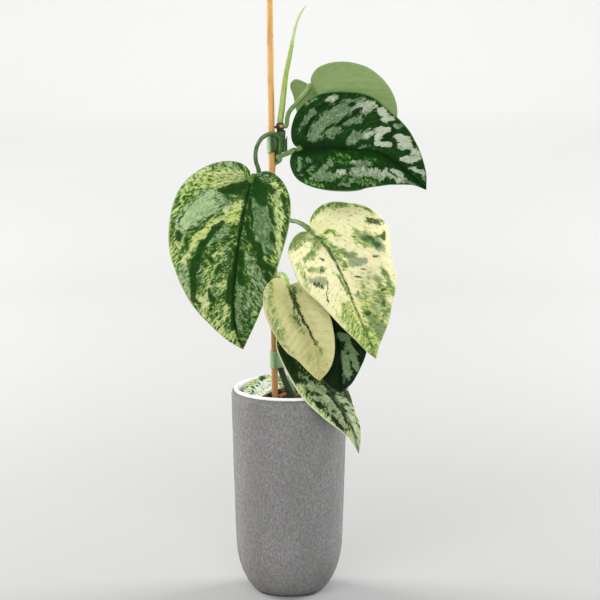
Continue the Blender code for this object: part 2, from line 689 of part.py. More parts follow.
def vein_origin(leaf, i):
    """How far along the midrib the i-th side vein starts; they stand closer towards the tip."""
    share = i / leaf["veins"]
    return leaf["lengths"][-1] * (1.15 * share - 0.15 * share**2)


def blade_mesh(leaf):
    """A sheet of triangles between side veins, the same on both halves of the midrib."""
    bm = bmesh.new()
    steps, whole = leaf["steps"], leaf["lengths"][-1]
    middle = [bm.verts.new(blade_point(leaf, vein_origin(leaf, i), 0.0)) for i in range(leaf["veins"])]
    tip = bm.verts.new(blade_point(leaf, whole, 0.0))
    for half, sign in (("right", 1), ("left", -1)):
        rows = []
        for i, end in enumerate(vein_ends(leaf, half)):
            root = max(0, i + 1 - FAN_VEINS)
            row = [middle[root]]
            for j in range(1, steps + 1):
                share = j / steps
                along = vein_origin(leaf, root) * (1 - share) + end.x * share
                row.append(bm.verts.new(blade_point(leaf, along, sign * end.y * share)))
            rows.append(row)
        rows.append([tip] * (steps + 1))
        for low, high in zip(rows, rows[1:]):
            for j in range(steps):
                corners = [low[j], low[j + 1], high[j + 1], high[j]]
                if sign < 0:
                    corners.reverse()
                split_face(bm, corners)
    return bm


def split_face(bm, corners):
    """One or two triangles, as many as the corners allow."""
    a, b, c, d = corners
    for three in ((a, b, c), (a, c, d)):
        if len(set(three)) == 3:
            bm.faces.new(three)


def petiole_tube(leaf):
    """The petiole, from its seat on the vine to under the blade's midrib."""
    route = [Vector(p) for p in leaf["petiole"]]
    radius = leaf["stalk_radius"]
    if leaf["node"] is not None:
        centre, ahead = vine_at(leaf["node"])
        out = route[0] - centre
        out = (out - ahead * out.dot(ahead)).normalized()
        seat = centre + out * (VINE_RADIUS + NODE_SWELL + GAP)
        route = [seat, seat + out * 0.0012] + route
    knuckle = len(route) - 1
    for along, under in ((-0.0010, 0.0012), (0.0040, 0.0009), (0.0110, 0.0007)):
        place, _, up, _ = blade_frame(leaf, max(along, 0.0))
        route.append(place + blade_frame(leaf, 0.0)[1] * min(along, 0.0) - up * under)
    radii = []
    for i in range(len(route)):
        factor = 1 + (KNUCKLE - 1) * max(0.0, 1 - abs(i - knuckle) / 2)
        radii.append(radius * (FOOT_NARROWING if i < 2 else factor))
    radii[-3:] = [radius * 1.05, radius * 0.75, radius * 0.35]
    smooth = smooth_curve(route, 2)
    fine = []
    for a, b in zip(radii, radii[1:]):
        fine += [a, (a + b) / 2]
    return tube(smooth, fine + [radii[-1]], STALK_SIDES)


def make_leaf(name):
    leaf = LEAVES[name]
    leaf["curve"] = smooth_curve(leaf["midrib"], 10)
    leaf["lengths"] = lengths_along(leaf["curve"])
    blade = make_object(name, mesh_from(blade_mesh(leaf), name), make_material(name))
    shell = blade.modifiers.new("thickness", "SOLIDIFY")
    shell.thickness = BLADE_THICKNESS
    shell.offset = 0.0
    stalk = make_object("stalk", mesh_from(petiole_tube(leaf), "stalk"))
    join_solids(blade, [stalk])
    return blade


def main():
    clear_scene()
    make_pot()
    make_cane()
    make_vine()
    make_shoot()
    make_tie("tie_lower", LOWER_TIE_HEIGHT, 0.0)
    make_tie("tie_upper", UPPER_TIE_HEIGHT, UPPER_TIE_TILT)
    for name in LEAVES:
        make_leaf(name)
    make_mix()


main()
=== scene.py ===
import math
import random

import bpy
import numpy as np
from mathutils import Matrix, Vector, noise


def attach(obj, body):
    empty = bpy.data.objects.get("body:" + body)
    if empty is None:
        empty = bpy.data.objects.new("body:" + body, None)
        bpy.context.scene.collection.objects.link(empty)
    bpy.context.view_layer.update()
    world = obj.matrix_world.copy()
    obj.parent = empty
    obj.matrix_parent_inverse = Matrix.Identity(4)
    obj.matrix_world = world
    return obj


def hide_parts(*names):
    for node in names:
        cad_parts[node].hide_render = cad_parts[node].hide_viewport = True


# A satin pothos in a rough grey pot, tied to a cane. Metres, +Z up, the plant's front towards -Y.

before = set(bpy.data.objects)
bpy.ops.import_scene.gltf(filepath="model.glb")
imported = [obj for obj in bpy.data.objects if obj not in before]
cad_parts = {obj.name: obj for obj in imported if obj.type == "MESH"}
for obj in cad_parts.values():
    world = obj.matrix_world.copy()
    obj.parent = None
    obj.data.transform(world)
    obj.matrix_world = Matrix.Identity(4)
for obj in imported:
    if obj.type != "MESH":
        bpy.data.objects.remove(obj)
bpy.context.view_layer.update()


# Shader maths on sockets

def tone(red, green, blue):
    # A colour as a screen shows it, 0 to 255, turned into light values
    out = []
    for part in (red, green, blue):
        part /= 255
        out.append(part / 12.92 if part <= 0.04045 else ((part + 0.055) / 1.055) ** 2.4)
    return (*out, 1.0)


class Signal:
    # One output socket of a material, which Python operators work on
    def __init__(self, finish, socket):
        self.finish = finish
        self.socket = socket

    def __add__(self, other):
        return self.finish.maths("ADD", self, other)

    def __sub__(self, other):
        return self.finish.maths("SUBTRACT", self, other)

    def __mul__(self, other):
        return self.finish.maths("MULTIPLY", self, other)

    def __rsub__(self, other):
        return self.finish.maths("SUBTRACT", other, self)

    def __abs__(self):
        return self.finish.maths("ABSOLUTE", self)

    __radd__ = __add__
    __rmul__ = __mul__


class Finish:
    # A material under construction
    def __init__(self, name):
        self.material = bpy.data.materials.new(name)
        self.material.use_nodes = True
        self.tree = self.material.node_tree
        self.tree.nodes.clear()

    def add(self, kind, settings=None, sockets=None, output=0):
        made = self.tree.nodes.new(kind)
        for key, value in (settings or {}).items():
            if key == "stops":
                elements = made.color_ramp.elements
                elements.remove(elements[1])
                elements[0].position, elements[0].color = value[0]
                for stop, colour in value[1:]:
                    elements.new(stop).color = colour
            else:
                setattr(made, key, value)
        for key, value in (sockets or {}).items():
            if isinstance(value, Signal):
                self.tree.links.new(value.socket, made.inputs[key])
            else:
                made.inputs[key].default_value = value
        return Signal(self, made.outputs[output]) if made.outputs else None

    def maths(self, operation, *values):
        return self.add("ShaderNodeMath", {"operation": operation}, dict(enumerate(values)))

    def vectorMaths(self, operation, *values):
        return self.add("ShaderNodeVectorMath", {"operation": operation}, dict(enumerate(values)))

    def blend(self, share, a, b, way="MIX"):
        # Mixes two colours
        return self.add(
            "ShaderNodeMix",
            {"data_type": "RGBA", "blend_type": way, "clamp_factor": True},
            {0: share, 6: a, 7: b},
            output=2,
        )

    def between(self, value, low, high):
        # 0 at low, 1 at high, and smooth from one to the other
        return self.add(
            "ShaderNodeMapRange",
            {"interpolation_type": "SMOOTHSTEP"},
            {0: value, 1: low, 2: high, 3: 0.0, 4: 1.0},
        )

    def cover(self, colour, tint, field, low, high, share=1.0):
        # Lays a share of the tint over the colour: none where the field is at low, all of it at high
        return self.blend(self.between(field, low, high) * share, colour, tint)

    def place(self):
        # Metres in the object's own frame
        return self.add("ShaderNodeTexCoord", output=3)

    def attribute(self, name):
        return self.add("ShaderNodeAttribute", {"attribute_name": name}, output=1)

    def parts(self, vector):
        return [self.add("ShaderNodeSeparateXYZ", {}, {0: vector}, output=i) for i in range(3)]

    def vector(self, x, y, z):
        return self.add("ShaderNodeCombineXYZ", {}, {0: x, 1: y, 2: z})

    def grain(self, vector, scale, detail=3.0, roughness=0.55):
        # Even noise round 0.5
        return self.add(
            "ShaderNodeTexNoise",
            {"noise_dimensions": "3D"},
            {"Vector": vector, "Scale": scale, "Detail": detail, "Roughness": roughness},
        )

    def fibres(self, squash, scale, detail=3.0, roughness=0.55):
        # Grain in metres, drawn out along Z where the squash is under 1
        drawnOut = self.vectorMaths("MULTIPLY", self.place(), (1.0, 1.0, squash))
        return self.grain(drawnOut, scale, detail, roughness)

    def swing(self, vector, detail=4.0, roughness=0.62):
        # Noise stretched to run from about -1 to 1
        return self.between(self.grain(vector, 1.0, detail, roughness), 0.28, 0.72) * 2.0 - 1.0

    def bump(self, height, depth, strength):
        return self.add("ShaderNodeBump", {}, {"Height": height, "Distance": depth, "Strength": strength})

    def close(self, colour, roughness, specular, normal=None):
        # Ends the material with its surface shader
        sockets = {"Base Color": colour, "Roughness": roughness, "Specular IOR Level": specular}
        if normal:
            sockets["Normal"] = normal
        shader = self.add("ShaderNodeBsdfPrincipled", {}, sockets)
        self.add("ShaderNodeOutputMaterial", {}, {0: shader})
        return self.material


# Curves and meshes

def slide(a, b, start, end, t):
    # From a at the start to b at the end
    return a * (end - t) / (end - start) + b * (t - start) / (end - start)


def smoothPath(points, steps):
    # A smooth curve through the points, with even steps between each two
    points = [np.array(p, float) for p in points]
    points = [2 * points[0] - points[1], *points, 2 * points[-1] - points[-2]]
    path = []
    for a, b, c, d in zip(points, points[1:], points[2:], points[3:]):
        k = [0.0]
        for start, end in ((a, b), (b, c), (c, d)):
            k.append(k[-1] + max(np.linalg.norm(end - start), 1e-9) ** 0.5)
        for t in np.linspace(k[1], k[2], steps, endpoint=False):
            ab = slide(a, b, k[0], k[1], t)
            bc = slide(b, c, k[1], k[2], t)
            cd = slide(c, d, k[2], k[3], t)
            abc = slide(ab, bc, k[0], k[2], t)
            bcd = slide(bc, cd, k[1], k[3], t)
            path.append(slide(abc, bcd, k[1], k[2], t))
    path.append(points[-2])
    return np.array(path)


def arcLengths(path):
    return np.concatenate([[0.0], np.cumsum(np.linalg.norm(np.diff(path, axis=0), axis=1))])


def placeAt(path, lengths, where):
    where = np.clip(where, 0, lengths[-1])
    return np.stack([np.interp(where, lengths, path[:, i]) for i in range(path.shape[1])], -1)


def unit(vectors):
    return vectors / np.linalg.norm(vectors, axis=-1, keepdims=True)


def smoothStep(value, low, high):
    share = np.clip((value - low) / (high - low), 0, 1)
    return share * share * (3 - 2 * share)


def bell(distance, width):
    # 1 at no distance, and soon 0 past the width
    return np.exp(-(distance / width) ** 2)


def noiseAt(points, scale, seed):
    # Smooth noise from about -1 to 1 at each of the points
    shift = Vector((seed, seed * 1.7, seed * 0.3))
    return np.array([noise.noise(Vector(p) * scale + shift) for p in points])


def buildPiece(name, places, faces, materials, slots=None, attributes=None, sharp=None):
    # Edges sharper than so many degrees stay sharp, and all else is shaded smooth
    mesh = bpy.data.meshes.new(name)
    mesh.from_pydata([tuple(p) for p in places], [], [tuple(int(i) for i in f) for f in faces])
    for material in materials:
        mesh.materials.append(material)
    if slots is not None:
        mesh.polygons.foreach_set("material_index", np.array(slots, dtype=np.int32))
    for key, values in (attributes or {}).items():
        layer = mesh.attributes.new(key, "FLOAT_VECTOR", "POINT")
        layer.data.foreach_set("vector", np.ascontiguousarray(values, dtype=np.float32).ravel())
    mesh.validate()
    mesh.shade_smooth()
    if sharp:
        mesh.set_sharp_from_angle(angle=math.radians(sharp))
    mesh.update()
    piece = bpy.data.objects.new(name, mesh)
    bpy.context.scene.collection.objects.link(piece)
    return piece


def evenTurns(sides):
    return np.linspace(0, 2 * math.pi, sides, endpoint=False)


def circle(radius, height, turns):
    return np.stack([radius * np.cos(turns), radius * np.sin(turns), np.full(len(turns), height)], -1)


def joinFaces(first, second, sides, flip=False):
    # Faces between two rings of points
    faces = []
    for k in range(sides):
        after = (k + 1) % sides
        face = (first + k, first + after, second + after, second + k)
        faces.append(face[::-1] if flip else face)
    return faces


def ringFaces(rings, sides, start=0, flip=False):
    # Faces of a tube whose points are stored ring after ring
    faces = []
    for i in range(rings - 1):
        first = start + i * sides
        faces += joinFaces(first, first + sides, sides, flip)
    return faces


def capFaces(start, sides, centre, flip=False):
    # Triangles from a ring to one point
    pairs = [(start + k, start + (k + 1) % sides) for k in range(sides)]
    return [(b, a, centre) if flip else (a, b, centre) for a, b in pairs]


def sweep(route, radii, sides, shape, facing=(0.0, 0.0, 1.0)):
    # A closed tube along the route. shape gives the radius factor from the turn and the share along.
    # The last result says how far along each point lies, in millimetres, and its turn and share.
    route, radii = np.array(route, float), np.array(radii, float)
    ahead = unit(np.gradient(route, axis=0))
    across = np.zeros_like(route)
    last = np.array(facing, float)
    for i, way in enumerate(ahead):
        last = last - way * last.dot(way)
        if np.linalg.norm(last) < 1e-6:
            last = np.cross(way, (1.0, 0.0, 0.0))
        last = last / np.linalg.norm(last)
        across[i] = last
    up = np.cross(ahead, across)
    turn = evenTurns(sides)
    share = np.linspace(0, 1, len(route))
    factor = shape(turn[None, :], share[:, None])
    out = across[:, None] * np.cos(turn)[None, :, None] + up[:, None] * np.sin(turn)[None, :, None]
    places = (route[:, None] + out * (radii[:, None] * factor)[..., None]).reshape(-1, 3)
    far = arcLengths(route) * 1000
    seen = np.stack([np.repeat(far, sides), np.tile(turn, len(route)), np.repeat(share, sides)], -1)
    bulge = 0.25   # each end rises by this share of its radius
    ends = [route[0] - ahead[0] * radii[0] * bulge, route[-1] + ahead[-1] * radii[-1] * bulge]
    count = len(places)
    faces = ringFaces(len(route), sides)
    faces += capFaces(0, sides, count, flip=True)
    faces += capFaces(count - sides, sides, count + 1)
    places = np.concatenate([places, ends])
    seen = np.concatenate([seen, [[0, 0, 0], [far[-1], 0, 1]]])
    return places, faces, seen


# Floor, backdrop, lights and camera

studio = dict(
    # how far from the plant's foot, in metres, and the sheet's grey there: painted shade, darker near the
    # plant and lighter far off
    tones=((0.0, 159), (0.45, 161), (1.0, 170), (1.4, 177), (1.9, 198), (2.45, 219), (3.2, 237)),
    cloud=tone(190, 190, 190),
    flatReach=3.2,           # the sheet turns up here, on all sides
    bendRadius=1.2, wallTop=1.7, flatSteps=8, bendSteps=16, sides=96,
    # each panel's name, place, aim, width and height, watts and colour
    panels=(
        ("panelLeft", (-1.7, 0.9, 1.15), (0, 0, 0.15), (1.2, 1.0), 60, (1.0, 0.99, 0.98)),
        ("panelRight", (1.7, 0.9, 1.15), (0, 0, 0.15), (1.2, 1.0), 57, (0.98, 0.99, 1.0)),
        ("panelFront", (-0.4, -2.0, 1.7), (0, 0, 0.30), (2.2, 1.4), 48, (1.0, 1.0, 1.0)),
        ("backWash", (0.0, 3.5, 3.0), (0, 4.3, 0.3), (4.2, 1.6), 46, (1.0, 1.0, 1.0)),
    ),
    worldStrength=0.42,
    camera=(0.0093, -2.5, 0.7525),
    tilt=11.235,             # degrees that the camera looks down
    lens=178.56, sensorWidth=36.0,
)


def sheetFinish():
    finish = Finish("paleSheet")
    place = finish.place()
    x, y, _ = finish.parts(place)
    reach = finish.maths("SQRT", x * x + y * y)
    furthest = studio["tones"][-1][0]
    # The greys by distance are painted shade: the sheet is darker near the plant and lighter far off.
    stops = [(out / furthest, tone(grey, grey, grey - 1)) for out, grey in studio["tones"]]
    colour = finish.add("ShaderNodeValToRGB", {"stops": stops}, {0: reach * (1 / furthest)})
    colour = finish.blend(finish.grain(place, 3.0, 2.0) * 0.04, colour, studio["cloud"])
    return finish.close(colour=colour, roughness=0.8, specular=0.15)


def makeStage():
    flat, radius = studio["flatReach"], studio["bendRadius"]
    section = [(flat * i / studio["flatSteps"], 0.0) for i in range(1, studio["flatSteps"] + 1)]
    for i in range(1, studio["bendSteps"] + 1):
        turn = math.pi / 2 * i / studio["bendSteps"]
        section.append((flat + radius * math.sin(turn), radius * (1 - math.cos(turn))))
    section.append((section[-1][0], studio["wallTop"]))
    sides = studio["sides"]
    turns = [2 * math.pi * k / sides for k in range(sides)]
    places = [(r * math.cos(turn), r * math.sin(turn), height) for r, height in section for turn in turns]
    faces = ringFaces(len(section), sides, flip=True) + capFaces(0, sides, len(places))
    buildPiece("sheet", places + [(0.0, 0.0, 0.0)], faces, [sheetFinish()])


def makeLight(name, place, aim, size, power, colour):
    light = bpy.data.lights.new(name, "AREA")
    light.shape = "RECTANGLE"
    light.size, light.size_y = size
    light.energy = power
    light.color = colour
    lamp = bpy.data.objects.new(name, light)
    lamp.location = place
    lamp.rotation_euler = (Vector(aim) - Vector(place)).to_track_quat("-Z", "Y").to_euler()
    bpy.context.scene.collection.objects.link(lamp)


def makeLights():
    for panel in studio["panels"]:
        makeLight(*panel)
    world = bpy.data.worlds.new("paleRoom")
    world.use_nodes = True
    backdrop = world.node_tree.nodes["Background"]
    backdrop.inputs["Color"].default_value = (1.0, 1.0, 1.0, 1.0)
    backdrop.inputs["Strength"].default_value = studio["worldStrength"]
    bpy.context.scene.world = world
    bpy.context.scene.view_settings.view_transform = "Standard"


def makeCamera():
    lens = bpy.data.cameras.new("camera")
    lens.lens = studio["lens"]
    lens.sensor_width = studio["sensorWidth"]
    camera = bpy.data.objects.new("camera", lens)
    camera.location = studio["camera"]
    camera.rotation_euler = (math.radians(90 - studio["tilt"]), 0, 0)
    bpy.context.scene.collection.objects.link(camera)
    bpy.context.scene.camera = camera


# Pot

pot = dict(
    footRadius=0.026, bellyRadius=0.046, bellyHeight=0.043, bellyRoundness=1.7,
    rimRadius=0.050, rimBulge=0.85, shoulderHeight=0.1735, height=0.1802,
    wall=0.0056, floor=0.007,
    # the lip's section: inwards from the rim's radius, and down from the top
    lip=[(0.0004, 0.0045), (0.0013, 0.0031), (0.0025, 0.0025), (0.0027, 0.0011), (0.0033, 0.0003),
         (0.0042, 0.0), (0.0052, 0.0005), (0.0056, 0.0016)],
    sides=320, bellySteps=36, upperSteps=130, lipSteps=4, innerSteps=12, floorSteps=3,
    coatStart=(0.001, 0.006),   # the coat grows rough over these heights
    coatEnd=0.1777,             # it stops here, under the glazed lip
    coatFade=0.004,             # and has grown smooth over this last stretch
    grooveDepth=0.00028,
    # each noise of the coat: its share of the depth, its squash upwards, scale and seed
    streaks=((0.8, 0.40, 480.0, 3.0), (0.9, 0.7, 1130.0, 8.0)),
    lumps=(0.6, 0.5, 150.0, 5.0),
    coatDark=tone(107, 106, 106), coatLight=tone(144, 143, 142), coatCloud=tone(106, 105, 104),
    # the last grey on the next line is painted shadow, for a band just under the lip
    coatPit=tone(70, 69, 68), coatSpeck=tone(160, 159, 158), underLipShadow=tone(84, 82, 80),
    lipWhite=tone(230, 230, 229), lipCloud=tone(214, 214, 212),
    glazeWhite=tone(240, 240, 236), glazeCloud=tone(220, 220, 214),
)


def outerRadius(height):
    share = max(height - pot["bellyHeight"], 0.0) / (pot["shoulderHeight"] - pot["bellyHeight"])
    return pot["bellyRadius"] + (pot["rimRadius"] - pot["bellyRadius"]) * share ** pot["rimBulge"]


def outerSection():
    foot, belly, middle = pot["footRadius"], pot["bellyRadius"], pot["bellyHeight"]
    shoulder, steps = pot["shoulderHeight"], pot["upperSteps"]
    section = [(0.0, 0.0), (foot * 0.5, 0.0), (foot, 0.0)]
    for i in range(1, pot["bellySteps"] + 1):
        turn = math.pi / 2 * i / pot["bellySteps"]
        out = math.sin(turn) ** (2 / pot["bellyRoundness"])
        up = 1 - math.cos(turn) ** (2 / pot["bellyRoundness"])
        section.append((foot + (belly - foot) * out, middle * up))
    for i in range(1, steps + 1):
        height = middle + (shoulder - middle) * i / steps
        section.append((outerRadius(height), height))
    lip = [(pot["rimRadius"] - inward, pot["height"] - down) for inward, down in pot["lip"]]
    lip = smoothPath([(outerRadius(shoulder), shoulder), *lip], pot["lipSteps"])
    return section + [tuple(p) for p in lip[1:]]


def innerSection():
    section = []
    for height in np.linspace(pot["shoulderHeight"], pot["bellyHeight"], pot["innerSteps"]):
        section.append((outerRadius(height) - pot["wall"], height))
    wide = pot["bellyRadius"] - pot["wall"]
    for i in range(1, pot["floorSteps"] + 1):
        turn = math.pi / 2 * i / pot["floorSteps"]
        height = pot["bellyHeight"] - (pot["bellyHeight"] - pot["floor"]) * math.sin(turn)
        section.append((wide * (0.5 + 0.5 * math.cos(turn)), height))
    return section


def coatFinish():
    finish = Finish("roughPotCoat")
    place, end = finish.place(), pot["coatEnd"]
    z = finish.parts(place)[2]
    streak = finish.fibres(0.55, 760.0, 4.0, 0.62)
    broad = finish.fibres(0.35, 45.0)
    speck = finish.grain(place, 1700.0, 2.0)
    pit = finish.between(finish.fibres(0.5, 800.0, 2.0), 0.64, 0.72)
    grey = finish.cover(pot["coatDark"], pot["coatLight"], streak, 0.32, 0.70)
    grey = finish.cover(grey, pot["coatCloud"], broad, 0.35, 0.7, 0.35)
    grey = finish.blend(pit * 0.6, grey, pot["coatPit"])
    grey = finish.cover(grey, pot["coatSpeck"], speck, 0.58, 0.75, 0.35)
    # A dark band just under the glazed lip: painted shadow of the lip.
    grey = finish.cover(grey, pot["underLipShadow"], z, end - 0.0030, end - 0.0008, 0.55)
    edge = z + (finish.grain(place, 300.0, 2.0) - 0.5) * 0.0006
    glazed = finish.between(edge, end + 0.0001, end + 0.0005)
    white = finish.blend(finish.grain(place, 40.0) * 0.3, pot["lipWhite"], pot["lipCloud"])
    colour = finish.blend(glazed, grey, white)
    roughness = 0.82 - glazed * 0.66
    relief = streak * 0.7 + speck * 0.3 - pit * 0.6
    normal = finish.bump(relief * (1 - glazed), 0.0004, 0.7)
    return finish.close(colour=colour, roughness=roughness, normal=normal, specular=0.45)


def glazeFinish():
    finish = Finish("whiteGlaze")
    place = finish.place()
    colour = finish.blend(finish.grain(place, 40.0) * 0.3, pot["glazeWhite"], pot["glazeCloud"])
    ripple = finish.grain(place, 180.0, 2.0)
    return finish.close(colour=colour, roughness=0.14, normal=finish.bump(ripple, 0.0002, 0.4), specular=0.5)


def roughen(places, share):
    # Moves the points in or out of the pot's wall by the coat's grain, as far as their shares say
    streaks = sum(
        part * noiseAt(places * (1, 1, squash), scale, seed) for part, squash, scale, seed in pot["streaks"]
    )
    part, squash, scale, seed = pot["lumps"]
    lumps = noiseAt(places * (1, 1, squash), scale, seed)
    out = unit(places * (1, 1, 0) + (1e-9, 0, 0))
    depth = pot["grooveDepth"]
    return places + out * ((streaks * depth + lumps * depth * part - depth) * share)[:, None]


def makePot():
    outer, inner = outerSection(), innerSection()
    sides = pot["sides"]
    turns = evenTurns(sides)
    places = np.concatenate([circle(radius, height, turns) for radius, height in outer])
    rough = smoothStep(places[:, 2], *pot["coatStart"])
    rough *= 1 - smoothStep(places[:, 2], pot["coatEnd"] - pot["coatFade"], pot["coatEnd"])
    rough *= np.repeat(np.arange(len(outer)) > 2, sides)   # the foot's underside stays flat
    places = roughen(places, rough)
    faces = ringFaces(len(outer), sides)
    coated, start = len(faces), len(places)
    innerPlaces = [circle(radius, height, turns) for radius, height in inner]
    places = np.concatenate([places, *innerPlaces, [[0, 0, pot["floor"]]]])
    floor = len(places) - 1
    faces += ringFaces(len(inner), sides, start)
    faces += joinFaces(start - sides, start, sides)
    faces += capFaces(floor - sides, sides, floor)
    slots = [0] * coated + [1] * (len(faces) - coated)
    piece = buildPiece("pot_rough", places, faces, [coatFinish(), glazeFinish()], slots, sharp=50)
    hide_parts("pot")
    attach(piece, "root")


# Vine and cane routes, which other pieces sit on

cane = dict(
    radius=0.0028, foot=(-0.0110, 0.0, 0.060), top=(-0.0164, 0.0, 0.530), sides=48, rings=260,
    rounding=(0.0001, 0.0004),   # how much thinner the last two rings are
    lowDark=tone(142, 100, 52), lowLight=tone(188, 146, 88),
    highDark=tone(196, 142, 78), highLight=tone(226, 184, 120),
    blotch=tone(150, 104, 58), scar=tone(104, 66, 32),
)

vine = dict(
    radius=0.0029, footRadius=0.0040, footEnd=0.1860, footTaper=0.012,
    nodes=[0.2281, 0.2579, 0.2688, 0.3275, 0.3755, 0.3832, 0.4060],
    swell=0.0008, reach=0.0045, bottom=0.1390, top=0.4083, sides=32, rings=420,
    # a ring stands out at each node, with a narrower neck so far above it
    ringWidth=0.0009, ringRise=0.00022, neckAbove=0.0024, neckDip=0.00016,
    route=[
        (0.0034, 0.0040, 0.1390), (0.0030, 0.0040, 0.1600), (0.0020, 0.0042, 0.1724),
        (-0.0011, 0.0052, 0.1792), (-0.0050, 0.0064, 0.1878), (-0.0078, 0.0068, 0.1960),
        (-0.0098, 0.0068, 0.2040), (-0.0110, 0.0068, 0.2130), (-0.0117, 0.0068, 0.2300),
        (-0.0122, 0.0068, 0.2546), (-0.0132, 0.0068, 0.2983), (-0.0142, 0.0068, 0.3416),
        (-0.0145, 0.0068, 0.3660), (-0.0136, 0.0067, 0.3745), (-0.0114, 0.0061, 0.3805),
        (-0.0093, 0.0046, 0.3860), (-0.0082, 0.0032, 0.3910), (-0.0078, 0.0024, 0.3960),
        (-0.0076, 0.0019, 0.4020), (-0.0076, 0.0018, 0.4083),
    ],
    rootRoute=[(-0.0080, 0.0010, 0.4040), (-0.0100, -0.0012, 0.4052), (-0.0120, -0.0026, 0.4054)],
    rootRadius=0.0012, rootSides=14,
    skinDark=tone(38, 66, 26), skinLight=tone(86, 122, 52), patch=tone(120, 122, 70), scar=tone(112, 92, 58),
    rootDark=tone(36, 26, 18), rootLight=tone(104, 78, 50),
    # stretches of skin in other colours, and painted shade at the foot: the heights where each sets in, and
    # where it ends
    bend=tone(128, 96, 74), bendFrom=(0.3770, 0.3800), bendTo=(0.3875, 0.3850),
    crown=tone(40, 46, 18), crownFrom=(0.3990, 0.4010),
    bud=tone(184, 166, 112), budFrom=(0.4052, 0.4060), budTo=(0.4078, 0.4070), budSide=(-0.0082, -0.0074),
    # the foot colour is painted shade, darkening the vine just above the pot's rim
    foot=tone(24, 48, 16), footShadeHeights=(0.206, 0.190),
)
vine["path"] = smoothPath(vine["route"], 8)


def vineAt(height):
    path = vine["path"]
    place = np.array([np.interp(height, path[:, 2], path[:, i]) for i in range(3)])
    i = min(max(np.searchsorted(path[:, 2], height) - 1, 0), len(path) - 2)
    return place, unit(path[i + 1] - path[i])


def vineRadius(height):
    foot = max(0.0, min(1.0, (vine["footEnd"] - height) / vine["footTaper"]))
    radius = vine["radius"] + (vine["footRadius"] - vine["radius"]) * foot
    swell = max(max(0.0, 1 - abs(height - node) / vine["reach"]) for node in vine["nodes"])
    return radius + vine["swell"] * swell


def caneAt(height):
    foot, top = np.array(cane["foot"]), np.array(cane["top"])
    return foot + (top - foot) * (height - foot[2]) / (top[2] - foot[2])


# Cane

def caneFinish():
    finish = Finish("splitCane")
    z = finish.parts(finish.place())[2]
    fibres = finish.fibres(0.02, 1700.0)
    low = finish.blend(fibres, cane["lowDark"], cane["lowLight"])
    high = finish.blend(fibres, cane["highDark"], cane["highLight"])
    colour = finish.cover(low, high, z, 0.17, 0.50)
    colour = finish.cover(colour, cane["blotch"], finish.fibres(0.25, 120.0), 0.52, 0.72, 0.5)
    colour = finish.cover(colour, cane["scar"], finish.fibres(0.45, 420.0, 3.0, 0.7), 0.60, 0.70, 0.7)
    normal = finish.bump(fibres, 0.0004, 0.5)
    return finish.close(colour=colour, roughness=0.5 + fibres * 0.15, normal=normal, specular=0.4)


def caneShape(turn, share):
    ribs = 0.012 * np.sin(turn * 9 + 1.2) + 0.008 * np.sin(turn * 17 + 5 * share)
    return 1 - 0.02 + ribs + 0.010 * np.sin(share * 60 + turn)


def makeCane():
    heights = np.linspace(cane["foot"][2], cane["top"][2], cane["rings"])
    route = np.array([caneAt(h) for h in heights])
    radii = np.full(len(route), cane["radius"])
    radii[-2:] -= cane["rounding"]
    places, faces, _ = sweep(route, radii, cane["sides"], caneShape, facing=(1.0, 0.0, 0.0))
    piece = buildPiece("cane_stick", places, faces, [caneFinish()], sharp=40)
    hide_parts("cane")
    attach(piece, "root")


# Vine

def vineFinish():
    finish = Finish("vineSkin")
    x, _, z = finish.parts(finish.place())
    stripe, patch = finish.fibres(0.08, 900.0), finish.fibres(0.4, 160.0)
    scar = finish.parts(finish.attribute("scars"))[0]
    colour = finish.cover(vine["skinDark"], vine["skinLight"], stripe, 0.35, 0.7)
    colour = finish.cover(colour, vine["patch"], patch, 0.55, 0.68, 0.6)
    colour = finish.blend(scar, colour, vine["scar"])
    bend = finish.between(z, *vine["bendFrom"]) * finish.between(z, *vine["bendTo"])
    colour = finish.blend(bend * 0.8, colour, vine["bend"])
    colour = finish.cover(colour, vine["crown"], z + patch * 0.002, *vine["crownFrom"], 0.92)
    bud = finish.between(z + patch * 0.001, *vine["budFrom"]) * finish.between(z, *vine["budTo"])
    colour = finish.blend(bud * finish.between(x, *vine["budSide"]) * 0.8, colour, vine["bud"])
    # Painted shade darkens the vine's foot.
    colour = finish.cover(colour, vine["foot"], z, *vine["footShadeHeights"], 0.85)
    normal = finish.bump(stripe + patch * 0.5, 0.0004, 0.6)
    return finish.close(colour=colour, roughness=0.48, normal=normal, specular=0.4)


def rootFinish():
    finish = Finish("dryRoot")
    grain = finish.grain(finish.place(), 1800.0, 4.0)
    colour = finish.cover(vine["rootDark"], vine["rootLight"], grain, 0.4, 0.65)
    return finish.close(colour=colour, roughness=0.85, normal=finish.bump(grain, 0.0006, 0.8), specular=0.2)


def vineShape(turn, share):
    return 1 + 0.035 * np.sin(turn * 5 + share * 20) + 0.02 * np.sin(turn * 11 - share * 44) - 0.03


def rootShape(turn, share):
    return 1 + 0.12 * np.sin(turn * 3 + share * 30) + 0.08 * np.sin(turn * 5 - share * 57)


